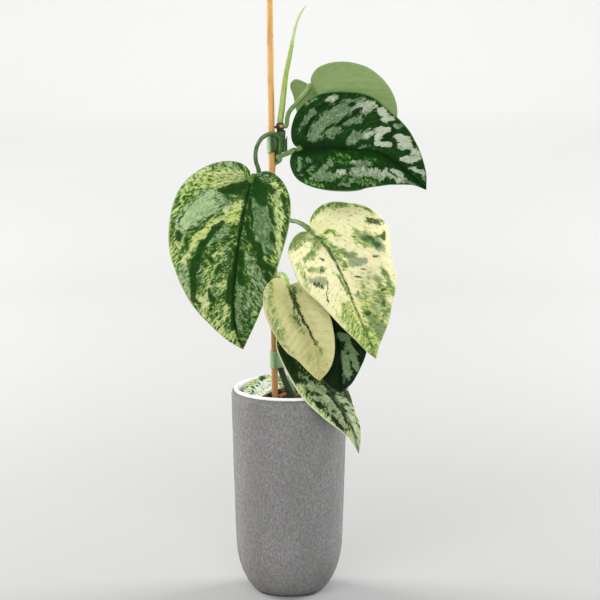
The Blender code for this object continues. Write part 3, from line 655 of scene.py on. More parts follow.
def makeVine():
    heights = np.linspace(vine["bottom"], vine["top"], vine["rings"])
    route = np.array([vineAt(h)[0] for h in heights])
    radii = np.array([vineRadius(h) for h in heights])
    off = heights[:, None] - np.array(vine["nodes"])[None, :]
    ring = np.max(bell(off, vine["ringWidth"]), axis=1)
    neck = np.max(bell(off - vine["neckAbove"], vine["ringWidth"]), axis=1)
    radii = radii + vine["ringRise"] * ring - vine["neckDip"] * neck
    places, faces, _ = sweep(route, radii, vine["sides"], vineShape, facing=(1.0, 0.0, 0.0))
    rootPath = smoothPath(vine["rootRoute"], 10)
    rootRadii = vine["rootRadius"] * (1 - 0.3 * np.linspace(0, 1, len(rootPath)))
    rootPlaces, rootFaces, _ = sweep(rootPath, rootRadii, vine["rootSides"], rootShape)
    scars = np.repeat(ring * 0.85, vine["sides"])
    scars = np.concatenate([scars, np.zeros(len(places) - len(scars) + len(rootPlaces))])
    slots = [0] * len(faces) + [1] * len(rootFaces)
    faces += [tuple(i + len(places) for i in f) for f in rootFaces]
    piece = buildPiece(
        "vine_stem", np.concatenate([places, rootPlaces]), faces, [vineFinish(), rootFinish()], slots,
        {"scars": np.stack([scars] * 3, -1)}, sharp=50,
    )
    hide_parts("vine")
    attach(piece, "root")


# Potting mix

mix = dict(
    height=0.169, bottom=0.150, radius=0.0438, sides=180, rings=60, sink=0.0004,
    level=0.0436,   # from here out its rim is level
    waves=((0.0008, 260.0, 2.0), (0.0005, 700.0, 4.0), (0.0006, 90.0, 6.0)),   # rise, scale and seed
    seed=4, spread=0.0405,
    chips=70, chipSize=(0.0028, 0.0068), crumbs=420, crumbSize=(0.0005, 0.0016),
    vineRoom=0.0052, caneRoom=0.0038, stalkRoom=0.0022, stalkPlace=(0.0012, 0.0326, 0),
    soilDark=tone(38, 27, 20), soilLight=tone(92, 68, 48),
    darkBark=(tone(84, 52, 30), tone(140, 92, 54)), lightBark=(tone(166, 112, 66), tone(206, 156, 104)),
)


def mixFinish():
    finish = Finish("pottingMix")
    soil = finish.grain(finish.place(), 700.0, 4.0, 0.65)
    colour = finish.cover(mix["soilDark"], mix["soilLight"], soil, 0.35, 0.7)
    return finish.close(colour=colour, roughness=0.95, normal=finish.bump(soil, 0.0012, 0.9), specular=0.15)


def barkFinish():
    finish = Finish("barkChips")
    tint = finish.parts(finish.attribute("tint"))[0]
    drawnOut = finish.vectorMaths("MULTIPLY", finish.place(), (1.0, 0.3, 1.0))
    grain = finish.grain(drawnOut, 1200.0, 4.0)
    colour = finish.blend(tint, finish.blend(grain, *mix["darkBark"]), finish.blend(grain, *mix["lightBark"]))
    return finish.close(colour=colour, roughness=0.85, normal=finish.bump(grain, 0.0006, 0.8), specular=0.2)


def soilSurface():
    # The mix's top, level at its rim, and its side down to the bottom
    sides, rings = mix["sides"], mix["rings"]
    turns = evenTurns(sides)
    places = [circle(mix["radius"] * i / rings, mix["height"], turns) for i in range(1, rings + 1)]
    places = np.concatenate([[[0, 0, mix["height"]]], *places])
    radius = np.hypot(places[:, 0], places[:, 1])
    fade = np.maximum(0, 1 - (radius / mix["level"]) ** 6)
    rise = sum(noiseAt(places, scale, seed) * part for part, scale, seed in mix["waves"])
    places[:, 2] += rise * fade - mix["sink"]
    skirt = places[-sides:] * (1, 1, 0) + (0, 0, mix["bottom"])
    faces = [(0, 1 + k, 1 + (k + 1) % sides) for k in range(sides)]
    faces += ringFaces(rings + 1, sides, 1, flip=True)
    return np.concatenate([places, skirt]), faces


def barkBit(rng, spot, size, sink):
    # A crooked block of bark, thicker in its middle
    spin, lean = rng.uniform(0, math.pi), rng.uniform(-0.35, 0.35)
    corners = []
    for x in (-1, 0, 1):
        for y in (-1, 1):
            for z in (-1, 1):
                bulge = 1.15 if x == 0 else 0.8
                corners.append((
                    x * 0.5 * size[0] + rng.uniform(-0.1, 0.1) * size[0],
                    y * 0.5 * size[1] * bulge + rng.uniform(-0.12, 0.12) * size[1],
                    z * 0.5 * size[2] * bulge + rng.uniform(-0.15, 0.15) * size[2],
                ))
    places = []
    for x, y, z in corners:
        y, z = y * math.cos(lean) - z * math.sin(lean), y * math.sin(lean) + z * math.cos(lean)
        x, y = x * math.cos(spin) - y * math.sin(spin), x * math.sin(spin) + y * math.cos(spin)
        places.append((spot[0] + x, spot[1] + y, mix["height"] + size[2] * 0.5 - sink + z))
    return places


def makeMix():
    rng = random.Random(mix["seed"])
    places, faces = soilSurface()
    slots = [0] * len(faces)
    tints = [0.0] * len(places)
    places = [tuple(p) for p in places]
    stems = [
        (vineAt(mix["height"])[0], mix["vineRoom"]),
        (caneAt(mix["height"]), mix["caneRoom"]),
        (np.array(mix["stalkPlace"]), mix["stalkRoom"]),
    ]
    bitFaces = (
        (0, 2, 3, 1), (8, 9, 11, 10), (0, 1, 5, 4), (4, 5, 9, 8), (2, 6, 7, 3), (6, 10, 11, 7),
        (1, 3, 7, 5), (5, 7, 11, 9), (0, 4, 6, 2), (4, 8, 10, 6),
    )
    kinds = ((mix["chips"], mix["chipSize"], 1), (mix["crumbs"], mix["crumbSize"], 0))
    for count, (low, high), slot in kinds:
        done = 0
        while done < count:
            reach = mix["spread"] * math.sqrt(rng.random())
            way = rng.uniform(0, 2 * math.pi)
            spot = np.array((reach * math.cos(way), reach * math.sin(way), 0))
            size = rng.uniform(low, high)
            if any(np.hypot(*(spot - stem)[:2]) < room + size * 0.55 for stem, room in stems):
                continue
            done += 1
            sizes = (size, size * rng.uniform(0.45, 0.75), size * rng.uniform(0.28, 0.45))
            tint = rng.random() ** 1.5
            faces += [tuple(len(places) + i for i in face) for face in bitFaces]
            slots += [slot] * len(bitFaces)
            places += barkBit(rng, spot, sizes, size * 0.10)
            tints += [tint] * (len(places) - len(tints))
    tints = np.array(tints)
    piece = buildPiece(
        "mix_top", places, faces, [mixFinish(), barkFinish()], slots,
        {"tint": np.stack([tints] * 3, -1)}, sharp=35,
    )
    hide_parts("potting_mix")
    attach(piece, "root")


# Ties

ties = dict(
    width=0.015, thickness=0.0010, slack=0.0006, reach=0.004, sides=96, levels=24, insideLevels=6,
    waves=(0.00018, 2.2), tuck=0.00012,   # how deep and how close the tape's waves are, and how far it sinks
    # Each tape's third colour is a painted highlight: a glossy lighter strip on its left side, up to the x
    # that follows it.
    lower=dict(
        node="tie_lower", height=0.2038, tilt=0.0,
        light=tone(132, 162, 116), dark=tone(90, 124, 80), sheen=tone(150, 178, 136), sheenEnd=-0.0135,
    ),
    upper=dict(
        node="tie_upper", height=0.3924, tilt=0.30,
        light=tone(66, 100, 52), dark=tone(30, 60, 26), sheen=tone(164, 190, 150), sheenEnd=-0.0160,
        # its loose end, on the right: x, low edge and high edge
        flap=[(-0.0060, 0.3838, 0.3972), (-0.0036, 0.3848, 0.3950), (-0.0014, 0.3856, 0.3985)],
    ),
    flapFront=-0.0035, flapBow=0.0012, flapThickness=0.0006, flapColumns=7,
)


def tieFinish(tie):
    finish = Finish(tie["node"] + "_tape")
    place, end = finish.place(), tie["sheenEnd"]
    x = finish.parts(place)[0]
    stripes = finish.fibres(0.1, 620.0)
    cloud = finish.grain(place, 190.0, 2.0)
    colour = finish.cover(tie["dark"], tie["light"], stripes, 0.36, 0.66)
    colour = finish.blend(cloud * 0.4, colour, tie["light"])
    # Painted highlight: a glossy lighter strip on the tape's left side.
    colour = finish.cover(colour, tie["sheen"], x + (cloud - 0.5) * 0.001, end + 0.001, end - 0.001)
    normal = finish.bump(stripes, 0.0003, 0.5)
    return finish.close(colour=colour, roughness=0.3 + cloud * 0.15, normal=normal, specular=0.5)


def hullReach(spots, middle, turns):
    # How far the outline round the spots lies from the middle in each direction
    reach = []
    for turn in turns:
        way = np.array((math.cos(turn), math.sin(turn)))
        side = np.array((-way[1], way[0]))
        spread = spots - middle
        forward, off = spread @ way, spread @ side
        leftForward, left = forward[off >= 0][:, None], off[off >= 0][:, None]
        rightForward, right = forward[off < 0][None, :], off[off < 0][None, :]
        meet = (leftForward * (-right) + rightForward * left) / (left - right + 1e-12)
        reach.append(meet.max())
    return np.array(reach)


def bandRounds(height, room):
    # Circles round the cane and the vine, which the tape is stretched over
    turns = evenTurns(48)
    rim = np.stack([np.cos(turns), np.sin(turns)], -1)
    spots = [caneAt(height)[:2] + rim * (cane["radius"] + room)]
    for level in (-ties["reach"], 0.0, ties["reach"]):
        spots.append(vineAt(height + level)[0][:2] + rim * (vine["radius"] + vine["swell"] * 0.4 + room))
    return np.concatenate(spots)


def tapeSection():
    # Levels across the tape's width, -0.5 to 0.5, and shares of its thickness: up outside, down inside
    up, down = ties["levels"], ties["insideLevels"]
    outside = [(-0.47 + 0.94 * i / up, 1.0) for i in range(up + 1)]
    inside = [(0.4 - 0.8 * i / down, 0.0) for i in range(down + 1)]
    return [(-0.5, 0.0), (-0.49, 0.75), *outside, (0.49, 0.75), (0.5, 0.0), *inside]


def tapeEnd(tie, start):
    # A tape's loose end, which stands off: a front and a back sheet of points, row after row along it
    path = smoothPath(tie["flap"], 8)
    columns = ties["flapColumns"]
    cells, row = columns - 1, 2 * columns
    places, faces = [], []
    for i, (x, low, high) in enumerate(path):
        y = ties["flapFront"] - ties["flapBow"] * math.sin(math.pi * i / (len(path) - 1))
        for depth in (0.0, ties["flapThickness"]):
            places += [(x, y + depth, low + (high - low) * k / cells) for k in range(columns)]
    for i in range(len(path) - 1):
        first = start + i * row
        for a in range(first, first + cells):
            b = a + columns
            faces += [(a, a + row, a + row + 1, a + 1), (b, b + 1, b + row + 1, b + row)]
        for a, b in ((first, first + columns), (first + row - 1, first + cells)):
            faces.append((a, b, b + row, a + row))
    last = start + (len(path) - 1) * row
    faces += [(a, a + 1, a + columns + 1, a + columns) for a in range(start, start + cells)]
    faces += [(a + columns, a + columns + 1, a + 1, a) for a in range(last, last + cells)]
    return places, faces


def makeTie(tie):
    sides, thick, height = ties["sides"], ties["thickness"], tie["height"]
    depth, scale = ties["waves"]
    middle = (caneAt(height)[:2] + vineAt(height)[0][:2]) / 2
    turns = evenTurns(sides)
    section = tapeSection()
    rings = []
    for level, share in section:
        rise = level * ties["width"]
        reach = hullReach(bandRounds(height + rise, ties["slack"]), middle, turns) + thick * share
        if share > 0:
            around = circle(1.0, level * 6, turns)
            reach = reach + noiseAt(around, scale, height * 90) * depth * share - ties["tuck"]
        x = middle[0] + reach * np.cos(turns)
        y = middle[1] + reach * np.sin(turns)
        rings.append(np.stack([x, y, height + rise + tie["tilt"] * (x - middle[0])], -1))
    places = np.concatenate(rings)
    faces = ringFaces(len(section), sides)
    faces += joinFaces(len(places) - sides, 0, sides)
    if "flap" in tie:
        endPlaces, endFaces = tapeEnd(tie, len(places))
        places = np.concatenate([places, endPlaces])
        faces += endFaces
    piece = buildPiece(tie["node"] + "_band", places, faces, [tieFinish(tie)], sharp=45)
    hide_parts(tie["node"])
    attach(piece, "root")


def makeTies():
    makeTie(ties["lower"])
    makeTie(ties["upper"])


# New shoot

shoot = dict(
    route=[
        (-0.0076, 0.0018, 0.4091), (-0.0069, 0.0016, 0.4145), (-0.0059, 0.0010, 0.4214),
        (-0.0042, -0.0006, 0.4369), (-0.0017, -0.0026, 0.4541), (0.0009, -0.0040, 0.4668),
        (0.0022, -0.0050, 0.4737), (0.0034, -0.0060, 0.4814), (0.0059, -0.0070, 0.4924),
        (0.0089, -0.0080, 0.5009), (0.0118, -0.0085, 0.5056), (0.0147, -0.0090, 0.5094),
    ],
    radii=[0.0026, 0.0027, 0.0026, 0.0024, 0.0021, 0.0019, 0.0017, 0.0016, 0.0014, 0.0012, 0.0009, 0.0004],
    sides=40, steps=10,
    lapDepth=0.10, lapStart=2.0, lapTwist=2.2,   # the rolled leaf's edge winds up the shoot
    seam=0.60,                                   # the sheath ends at this share of the length
    sheathDark=tone(134, 160, 78), sheathLight=tone(170, 192, 110),
    leafDark=tone(166, 190, 120), leafLight=tone(206, 216, 176),
    seamGreen=tone(126, 160, 60), tip=tone(96, 130, 66), foot=tone(120, 150, 62),
)


def shootFinish():
    finish = Finish("youngShoot")
    share, seam = finish.parts(finish.attribute("along"))[2], shoot["seam"]
    stripe, mottle = finish.fibres(0.1, 1100.0), finish.fibres(0.4, 260.0)
    low = finish.cover(shoot["sheathDark"], shoot["sheathLight"], stripe, 0.3, 0.7)
    high = finish.cover(shoot["leafDark"], shoot["leafLight"], stripe, 0.3, 0.7)
    colour = finish.cover(low, high, share + mottle * 0.06, seam - 0.02, seam + 0.04)
    colour = finish.cover(colour, shoot["seamGreen"], abs(share - seam), 0.030, 0.0, 0.45)
    tip = finish.between(share, 0.84, 0.90) * finish.between(mottle, 0.42, 0.55)
    colour = finish.blend(tip * 0.8, colour, shoot["tip"])
    colour = finish.cover(colour, shoot["foot"], share, 0.10, 0.0, 0.5)
    normal = finish.bump(stripe, 0.0003, 0.4)
    return finish.close(colour=colour, roughness=0.42, normal=normal, specular=0.3)


def shootShape(turn, share):
    lap = ((turn + shoot["lapStart"] + share * shoot["lapTwist"]) / (2 * math.pi)) % 1.0
    return 0.94 + shoot["lapDepth"] * lap * (1 - smoothStep(share, 0.75, 1.0))


def makeShoot():
    path = smoothPath(shoot["route"], shoot["steps"])
    lengths = arcLengths(path)
    radii = np.interp(lengths, lengths[::shoot["steps"]], shoot["radii"])
    places, faces, seen = sweep(path, radii, shoot["sides"], shootShape, facing=(1.0, 0.0, 0.0))
    piece = buildPiece("new_shoot_roll", places, faces, [shootFinish()], attributes={"along": seen}, sharp=40)
    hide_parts("new_shoot")
    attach(piece, "root")


# Leaves. A margin is read along the midrib from the blade's base, and across from it.
# face is the upper side's yaw and pitch in degrees, at the base and at the tip. fold is how many
# degrees the right and the left half stand up by, and curl how many they bend back by over curlReach.
# lobeBend is how tightly the lobes bend back behind the base, node the height on the vine that the
# petiole grows from, and veins the number of side veins in each half.

blade = dict(
    thickness=0.0008, slant=0.6, fanRows=28, rows=128, columns=44,
    tipward=0.15,        # rows crowd towards the tip
    bow=0.38,            # side veins bend towards the tip
    veinDepth=0.00022, ribDepth=0.0005, grooveWidth=0.0012, ribWidth=0.0012, ribMark=0.0016,
    thinEdge=0.45,       # the edge loses this share of the thickness
    broadWave=(0.0006, 38.0), edgeWave=(0.0005, 85.0),
    sway=((0.19, 1.6), (0.42, 0.9)),   # how the markings' edges wander, per millimetre and in millimetres
)

usualLeaf = dict(curlReach=0.050, lobeBend=14.0, relief=1.0)

leaves = {
    "leaf_left_large": dict(
        midrib=[
            (-0.032, -0.015, 0.363), (-0.039, -0.022, 0.329), (-0.044, -0.027, 0.296),
            (-0.047, -0.029, 0.262), (-0.045, -0.028, 0.236), (-0.039, -0.025, 0.218),
        ],
        face=((-22, 8), (-16, 6)), fold=(22, 28), curl=(28, 32), lobeBend=12.0,
        right=[(-0.007, 0.009), (-0.008, 0.020), (-0.001, 0.034), (0.012, 0.042), (0.030, 0.0445),
               (0.062, 0.0405), (0.105, 0.028), (0.133, 0.014)],
        left=[(-0.007, 0.003), (-0.011, 0.012), (-0.008, 0.030), (0.004, 0.049), (0.022, 0.062),
              (0.044, 0.066), (0.070, 0.062), (0.103, 0.041), (0.130, 0.015)],
        node=0.3832,
        petiole=[
            (-0.0078, -0.0036, 0.3845), (-0.0071, -0.0056, 0.3900), (-0.0070, -0.0062, 0.3950),
            (-0.0089, -0.0070, 0.3990), (-0.0135, -0.0085, 0.4009), (-0.0185, -0.0095, 0.3999),
            (-0.0236, -0.0105, 0.3965), (-0.0270, -0.0120, 0.3907), (-0.0283, -0.0125, 0.3840),
            (-0.0279, -0.0120, 0.3772), (-0.0262, -0.0104, 0.3719), (-0.0256, -0.0096, 0.3680),
            (-0.0270, -0.0106, 0.3648),
        ],
        stalkRadius=0.0018, veins=16,
    ),
    "leaf_upper_right": dict(
        midrib=[
            (0.008, -0.012, 0.388), (0.034, -0.021, 0.390), (0.055, -0.028, 0.390),
            (0.076, -0.034, 0.388), (0.092, -0.037, 0.379), (0.115, -0.041, 0.358),
        ],
        face=((-10, 35), (-10, 30)), fold=(25, 25), curl=(25, 25),
        right=[(-0.005, 0.006), (-0.006, 0.018), (0.000, 0.036), (0.016, 0.048), (0.038, 0.051),
               (0.058, 0.048), (0.072, 0.035), (0.096, 0.020), (0.113, 0.009)],
        left=[(-0.004, 0.006), (-0.003, 0.018), (0.005, 0.033), (0.019, 0.041), (0.040, 0.0435),
              (0.060, 0.0405), (0.080, 0.033), (0.098, 0.018), (0.112, 0.005)],
        node=0.3755,
        petiole=[
            (-0.0076, 0.0004, 0.3772), (-0.0094, -0.0044, 0.3796), (-0.0090, -0.0072, 0.3808),
            (-0.0059, -0.0082, 0.3820), (-0.0008, -0.0095, 0.3844), (0.0042, -0.0110, 0.3867),
        ],
        stalkRadius=0.0019, veins=15,
    ),
    "leaf_top_back": dict(
        midrib=[(0.019, 0.002, 0.439), (0.033, 0.008, 0.419), (0.052, 0.014, 0.392), (0.068, 0.018, 0.366)],
        face=((190, 30), (180, 30)), fold=(32, 12), curl=(20, 20),
        right=[(-0.006, 0.003), (-0.011, 0.009), (-0.008, 0.018), (0.003, 0.023), (0.020, 0.030),
               (0.045, 0.034), (0.068, 0.024), (0.082, 0.010)],
        left=[(-0.007, 0.004), (-0.011, 0.015), (-0.004, 0.034), (0.012, 0.050), (0.034, 0.056),
              (0.053, 0.052), (0.070, 0.036), (0.083, 0.014)],
        node=0.4055, relief=0.4,
        petiole=[
            (-0.0019, 0.0002, 0.4085), (-0.0014, -0.0010, 0.4136), (0.0006, -0.0022, 0.4191),
            (0.0056, -0.0028, 0.4250), (0.0118, -0.0024, 0.4320), (0.0164, -0.0006, 0.4375),
        ],
        stalkRadius=0.0019, veins=12,
    ),
    "leaf_cream_large": dict(
        midrib=[
            (0.019, -0.030, 0.320), (0.030, -0.037, 0.309), (0.047, -0.046, 0.281),
            (0.057, -0.053, 0.256), (0.066, -0.058, 0.237), (0.073, -0.062, 0.218),
        ],
        face=((25, 20), (18, 14)), fold=(25, 25), curl=(30, 30),
        right=[(-0.008, 0.005), (-0.012, 0.017), (-0.008, 0.032), (0.006, 0.047), (0.020, 0.058),
               (0.031, 0.057), (0.046, 0.049), (0.070, 0.040), (0.093, 0.025), (0.110, 0.008)],
        left=[(-0.004, 0.009), (-0.002, 0.022), (0.006, 0.035), (0.020, 0.040), (0.037, 0.041),
              (0.055, 0.035), (0.080, 0.022), (0.112, 0.007)],
        node=0.3275,
        petiole=[
            (-0.0043, -0.0010, 0.3272), (0.0008, -0.0090, 0.3266), (0.0068, -0.0170, 0.3268),
            (0.0122, -0.0236, 0.3252), (0.0162, -0.0276, 0.3226),
        ],
        stalkRadius=0.0018, veins=16,
    ),
    "leaf_cream_small": dict(
        midrib=[
            (0.0000, -0.0435, 0.2761), (0.0060, -0.0475, 0.2611), (0.0120, -0.0505, 0.2491),
            (0.0180, -0.0525, 0.2382), (0.0240, -0.0545, 0.2222), (0.0260, -0.0555, 0.1972),
        ],
        face=((4, 12), (0, 8)), fold=(32, 32), curl=(32, 32), curlReach=0.028,
        right=[(-0.001, 0.006), (0.001, 0.014), (0.010, 0.022), (0.024, 0.024), (0.037, 0.022),
               (0.058, 0.016), (0.075, 0.009)],
        left=[(-0.007, 0.0025), (-0.010, 0.010), (-0.004, 0.022), (0.010, 0.028), (0.035, 0.028),
              (0.050, 0.0255), (0.068, 0.016), (0.080, 0.006)],
        node=0.2688,
        petiole=[
            (-0.0060, 0.0012, 0.2715), (-0.0078, -0.0090, 0.2778), (-0.0078, -0.0185, 0.2817),
            (-0.0055, -0.0280, 0.2828), (-0.0024, -0.0370, 0.2800),
        ],
        stalkRadius=0.0024, veins=12,
    ),
    "leaf_lower_inner": dict(
        midrib=[
            (0.025, -0.025, 0.261), (0.037, -0.031, 0.240), (0.043, -0.040, 0.216), (0.044, -0.049, 0.186),
        ],
        face=((8, 20), (8, 14)), fold=(18, 18), curl=(25, 25), curlReach=0.030,
        right=[(-0.006, 0.005), (-0.007, 0.012), (0.002, 0.022), (0.016, 0.027), (0.034, 0.0275),
               (0.051, 0.023), (0.062, 0.017), (0.076, 0.0085)],
        left=[(-0.006, 0.005), (-0.007, 0.012), (0.002, 0.021), (0.016, 0.026), (0.034, 0.027),
              (0.052, 0.024), (0.072, 0.016), (0.079, 0.008)],
        node=0.2579,
        petiole=[
            (-0.0045, -0.0018, 0.2588), (0.0025, -0.0080, 0.2615), (0.0093, -0.0135, 0.2636),
            (0.0169, -0.0196, 0.2640), (0.0215, -0.0230, 0.2628),
        ],
        stalkRadius=0.0015, veins=11,
    ),
    "leaf_over_rim": dict(
        midrib=[
            (0.003, -0.014, 0.226), (0.018, -0.027, 0.208), (0.030, -0.037, 0.190),
            (0.042, -0.044, 0.176), (0.052, -0.051, 0.159), (0.059, -0.056, 0.135),
        ],
        face=((30, 32), (34, 24)), fold=(-8, -8), curl=(30, 30), curlReach=0.030,
        right=[(-0.008, 0.007), (-0.009, 0.016), (0.000, 0.027), (0.018, 0.032), (0.038, 0.032),
               (0.055, 0.028), (0.066, 0.021), (0.080, 0.013), (0.100, 0.0085), (0.110, 0.004)],
        left=[(-0.007, 0.004), (-0.008, 0.010), (-0.002, 0.016), (0.014, 0.021), (0.034, 0.0235),
              (0.058, 0.022), (0.078, 0.0185), (0.092, 0.012), (0.104, 0.005)],
        node=0.2281,
        petiole=[(-0.0050, -0.0010, 0.2300), (-0.0020, -0.0060, 0.2318), (0.0008, -0.0110, 0.2300)],
        stalkRadius=0.0017, veins=13,
    ),
    "leaf_pot_mouth": dict(
        midrib=[
            (-0.009, 0.032, 0.1775), (-0.016, 0.020, 0.1765), (-0.023, 0.006, 0.1750),
            (-0.030, -0.008, 0.1740), (-0.034, -0.019, 0.1725),
        ],
        face=((-4, 74), (-4, 78)), fold=(4, 20), curl=(8, 22), curlReach=0.020, lobeBend=6.0,
        right=[(-0.003, 0.004), (-0.004, 0.008), (0.004, 0.012), (0.014, 0.012), (0.024, 0.009),
               (0.034, 0.008), (0.046, 0.006)],
        left=[(-0.004, 0.004), (-0.005, 0.009), (0.002, 0.014), (0.014, 0.0165), (0.028, 0.0165),
              (0.042, 0.012), (0.050, 0.006)],
        node=None,
        petiole=[
            (0.0015, 0.0320, 0.1560), (0.0011, 0.0330, 0.1640), (0.0006, 0.0342, 0.1715),
            (-0.0020, 0.0366, 0.1757), (-0.0056, 0.0358, 0.1772),
        ],
        stalkRadius=0.0012, veins=10,
    ),
}


def bladeFrame(leaf, along):
    # Place, direction, upper side and right side at a length along the midrib
    path, lengths = leaf["path"], leaf["lengths"]
    whole = lengths[-1]
    inside = np.clip(along, 0, whole)
    place = placeAt(path, lengths, inside)
    reach = whole * 0.01
    ahead = unit(placeAt(path, lengths, inside + reach) - placeAt(path, lengths, inside - reach))
    share = inside / whole
    (yaw0, pitch0), (yaw1, pitch1) = leaf["face"]
    yaw = np.radians(yaw0 + (yaw1 - yaw0) * share)
    pitch = np.radians(pitch0 + (pitch1 - pitch0) * share)
    up = np.stack([np.sin(yaw) * np.cos(pitch), -np.cos(yaw) * np.cos(pitch), np.sin(pitch)], -1)
    up = unit(up - ahead * (up * ahead).sum(-1, keepdims=True))
    right = np.cross(up, ahead)
    bend = leaf["lobeBend"]
    turn = (np.maximum(-along, 0) * bend)[..., None]
    place = place - ahead * np.sin(turn) / bend - up * (1 - np.cos(turn)) / bend
    ahead, up = ahead * np.cos(turn) + up * np.sin(turn), up * np.cos(turn) - ahead * np.sin(turn)
    return place, ahead, up, right


def bladePoint(leaf, along, across):
    place, _, up, right = bladeFrame(leaf, along)
    share = np.clip(along / leaf["lengths"][-1], 0, 1)
    onLeft = across < 0
    rise = np.radians(np.where(onLeft, leaf["fold"][1], leaf["fold"][0])) * (1 - 0.5 * share)
    curl = np.radians(np.where(onLeft, leaf["curl"][1], leaf["curl"][0])) / leaf["curlReach"]
    width = np.abs(across)
    out = (np.sin(rise) - np.sin(rise - curl * width)) / curl
    lift = (np.cos(rise - curl * width) - np.cos(rise)) / curl
    return place + right * (np.sign(across) * out)[..., None] + up * lift[..., None]


def bladeNormal(leaf, along, across):
    step = 0.0004
    ahead = bladePoint(leaf, along + step, across) - bladePoint(leaf, along - step, across)
    right = bladePoint(leaf, along, across + step) - bladePoint(leaf, along, across - step)
    return unit(np.cross(ahead, right))


def bladeRows(leaf, side):
    # Rows of one half, each from the midrib to the margin: first a fan, then one for each origin
    whole = leaf["lengths"][-1]
    margin = smoothPath([(0.0, 0.0), *leaf[side], (whole, 0.0)], 24)
    origin = margin[:, 0] - blade["slant"] * margin[:, 1]
    turn = max(i for i, o in enumerate(origin) if o <= 0.0 and i < len(margin) - 1)
    fan, rest = margin[: turn + 1], margin[turn:]
    fanLengths = arcLengths(fan)
    shares = (np.arange(blade["fanRows"]) + 1) / blade["fanRows"]
    fanEnds = placeAt(fan, fanLengths, fanLengths[-1] * shares)
    restOrigin = np.maximum.accumulate(origin[turn:] + np.arange(len(rest)) * 1e-9)
    steps, tipward = np.arange(1, blade["rows"]), blade["tipward"]
    starts = whole * ((1 + tipward) * steps / blade["rows"] - tipward * (steps / blade["rows"]) ** 2)
    ends = np.stack([np.interp(starts, restOrigin, rest[:, i]) for i in range(2)], -1)
    roots = np.concatenate([np.zeros(blade["fanRows"]), starts])
    veinPlace = np.concatenate([-(1 - shares) * fanLengths[-1] * 0.55, starts])
    return roots, np.concatenate([fanEnds, ends]), veinPlace


def bladeGrid(leaf):
    # For each point its place on the sheet (along, across), vein place and share across; then faces
    # and the edge all round
    whole = leaf["lengths"][-1]
    columns, fanRows = blade["columns"], blade["fanRows"]
    rowsRight, rowsLeft = bladeRows(leaf, "right"), bladeRows(leaf, "left")
    middle = np.concatenate([[0.0], rowsRight[0][fanRows:], [whole]])
    spots = [(m, 0.0, m, 0.0) for m in middle]
    tip = len(spots) - 1
    faces, rim = [], []
    for sign, (roots, ends, veinPlace) in ((1, rowsRight), (-1, rowsLeft)):
        grid = []
        for i in range(len(roots)):
            row = [max(0, i + 1 - fanRows)]
            for j in range(1, columns + 1):
                share = j / columns
                bowed = share * (1 - blade["bow"] + blade["bow"] * share)
                along = roots[i] + (ends[i][0] - roots[i]) * bowed
                spots.append((along, sign * ends[i][1] * share, veinPlace[i], share))
                row.append(len(spots) - 1)
            grid.append(row)
        grid.append([tip] * (columns + 1))
        for low, high in zip(grid, grid[1:]):
            for j in range(columns):
                corners = [low[j], low[j + 1], high[j + 1], high[j]]
                kept = tuple(dict.fromkeys(corners if sign > 0 else corners[::-1]))
                if len(kept) > 2:
                    faces.append(kept)
        rim.append([row[-1] for row in grid])
    edge = [0] + rim[0][:-1] + [tip] + rim[1][:-1][::-1]
    return np.array(spots), faces, edge


def bladeRelief(leaf, along, across, veinPlace, share):
    # How far veins and midrib lift or sink the sheet, and how much of a side vein each point has
    whole = leaf["lengths"][-1]
    spacing = whole / leaf["veins"]
    phase = (veinPlace / spacing) % 1.0
    groove = bell(np.minimum(phase, 1 - phase) * spacing, blade["grooveWidth"])
    quilt = 0.5 - 0.5 * np.cos(phase * 2 * math.pi)
    reach = smoothStep(share, 0.03, 0.3) * (1 - smoothStep(share, 0.75, 1.0))
    reach *= smoothStep(np.hypot(along, across), 0.004, 0.030) * leaf["relief"]
    rise = blade["veinDepth"] * (quilt * 1.4 - groove * 0.9 - 0.7) * reach
    rib = blade["ribDepth"] * bell(across, blade["ribWidth"])
    rise -= rib * (1 - smoothStep(along / whole, 0.85, 1.0))
    return rise, groove * reach


def strokeField(along, across, start, strokes):
    # Paints strokes one over the other on a field that starts at one value
    field = np.full(len(along), float(start))
    for a0, w0, a1, w1, width, strength in strokes:
        step = np.array((a1 - a0, w1 - w0), float)
        length = max(step @ step, 1e-9)
        share = np.clip(((along - a0) * step[0] + (across - w0) * step[1]) / length, 0, 1)
        gap = np.hypot(along - a0 - share * step[0], across - w0 - share * step[1]) / (width / 2)
        cover = 1 - smoothStep(gap, 0.25, 1.75)
        field = field * (1 - cover) + strength * cover
    return field


def bladeMarks(along, across, look):
    # The fields of the markings and of the painted shade, whose edges wander
    flat = np.stack([along, across, np.zeros(len(along))], -1) * 1000
    swayed = flat.copy()
    for i in range(2):
        for scale, far in blade["sway"]:
            swayed[:, i] += far * noiseAt(flat, scale, look["seed"] * 3.1 + i * 17.3 + far)
    layers = ("silver", "cream", "dark", "bright", "yellow", "shade")
    fields = [strokeField(swayed[:, 0], swayed[:, 1], *look[layer + "Marks"]) for layer in layers]
    return np.stack(fields[:3], -1), np.stack(fields[3:], -1)


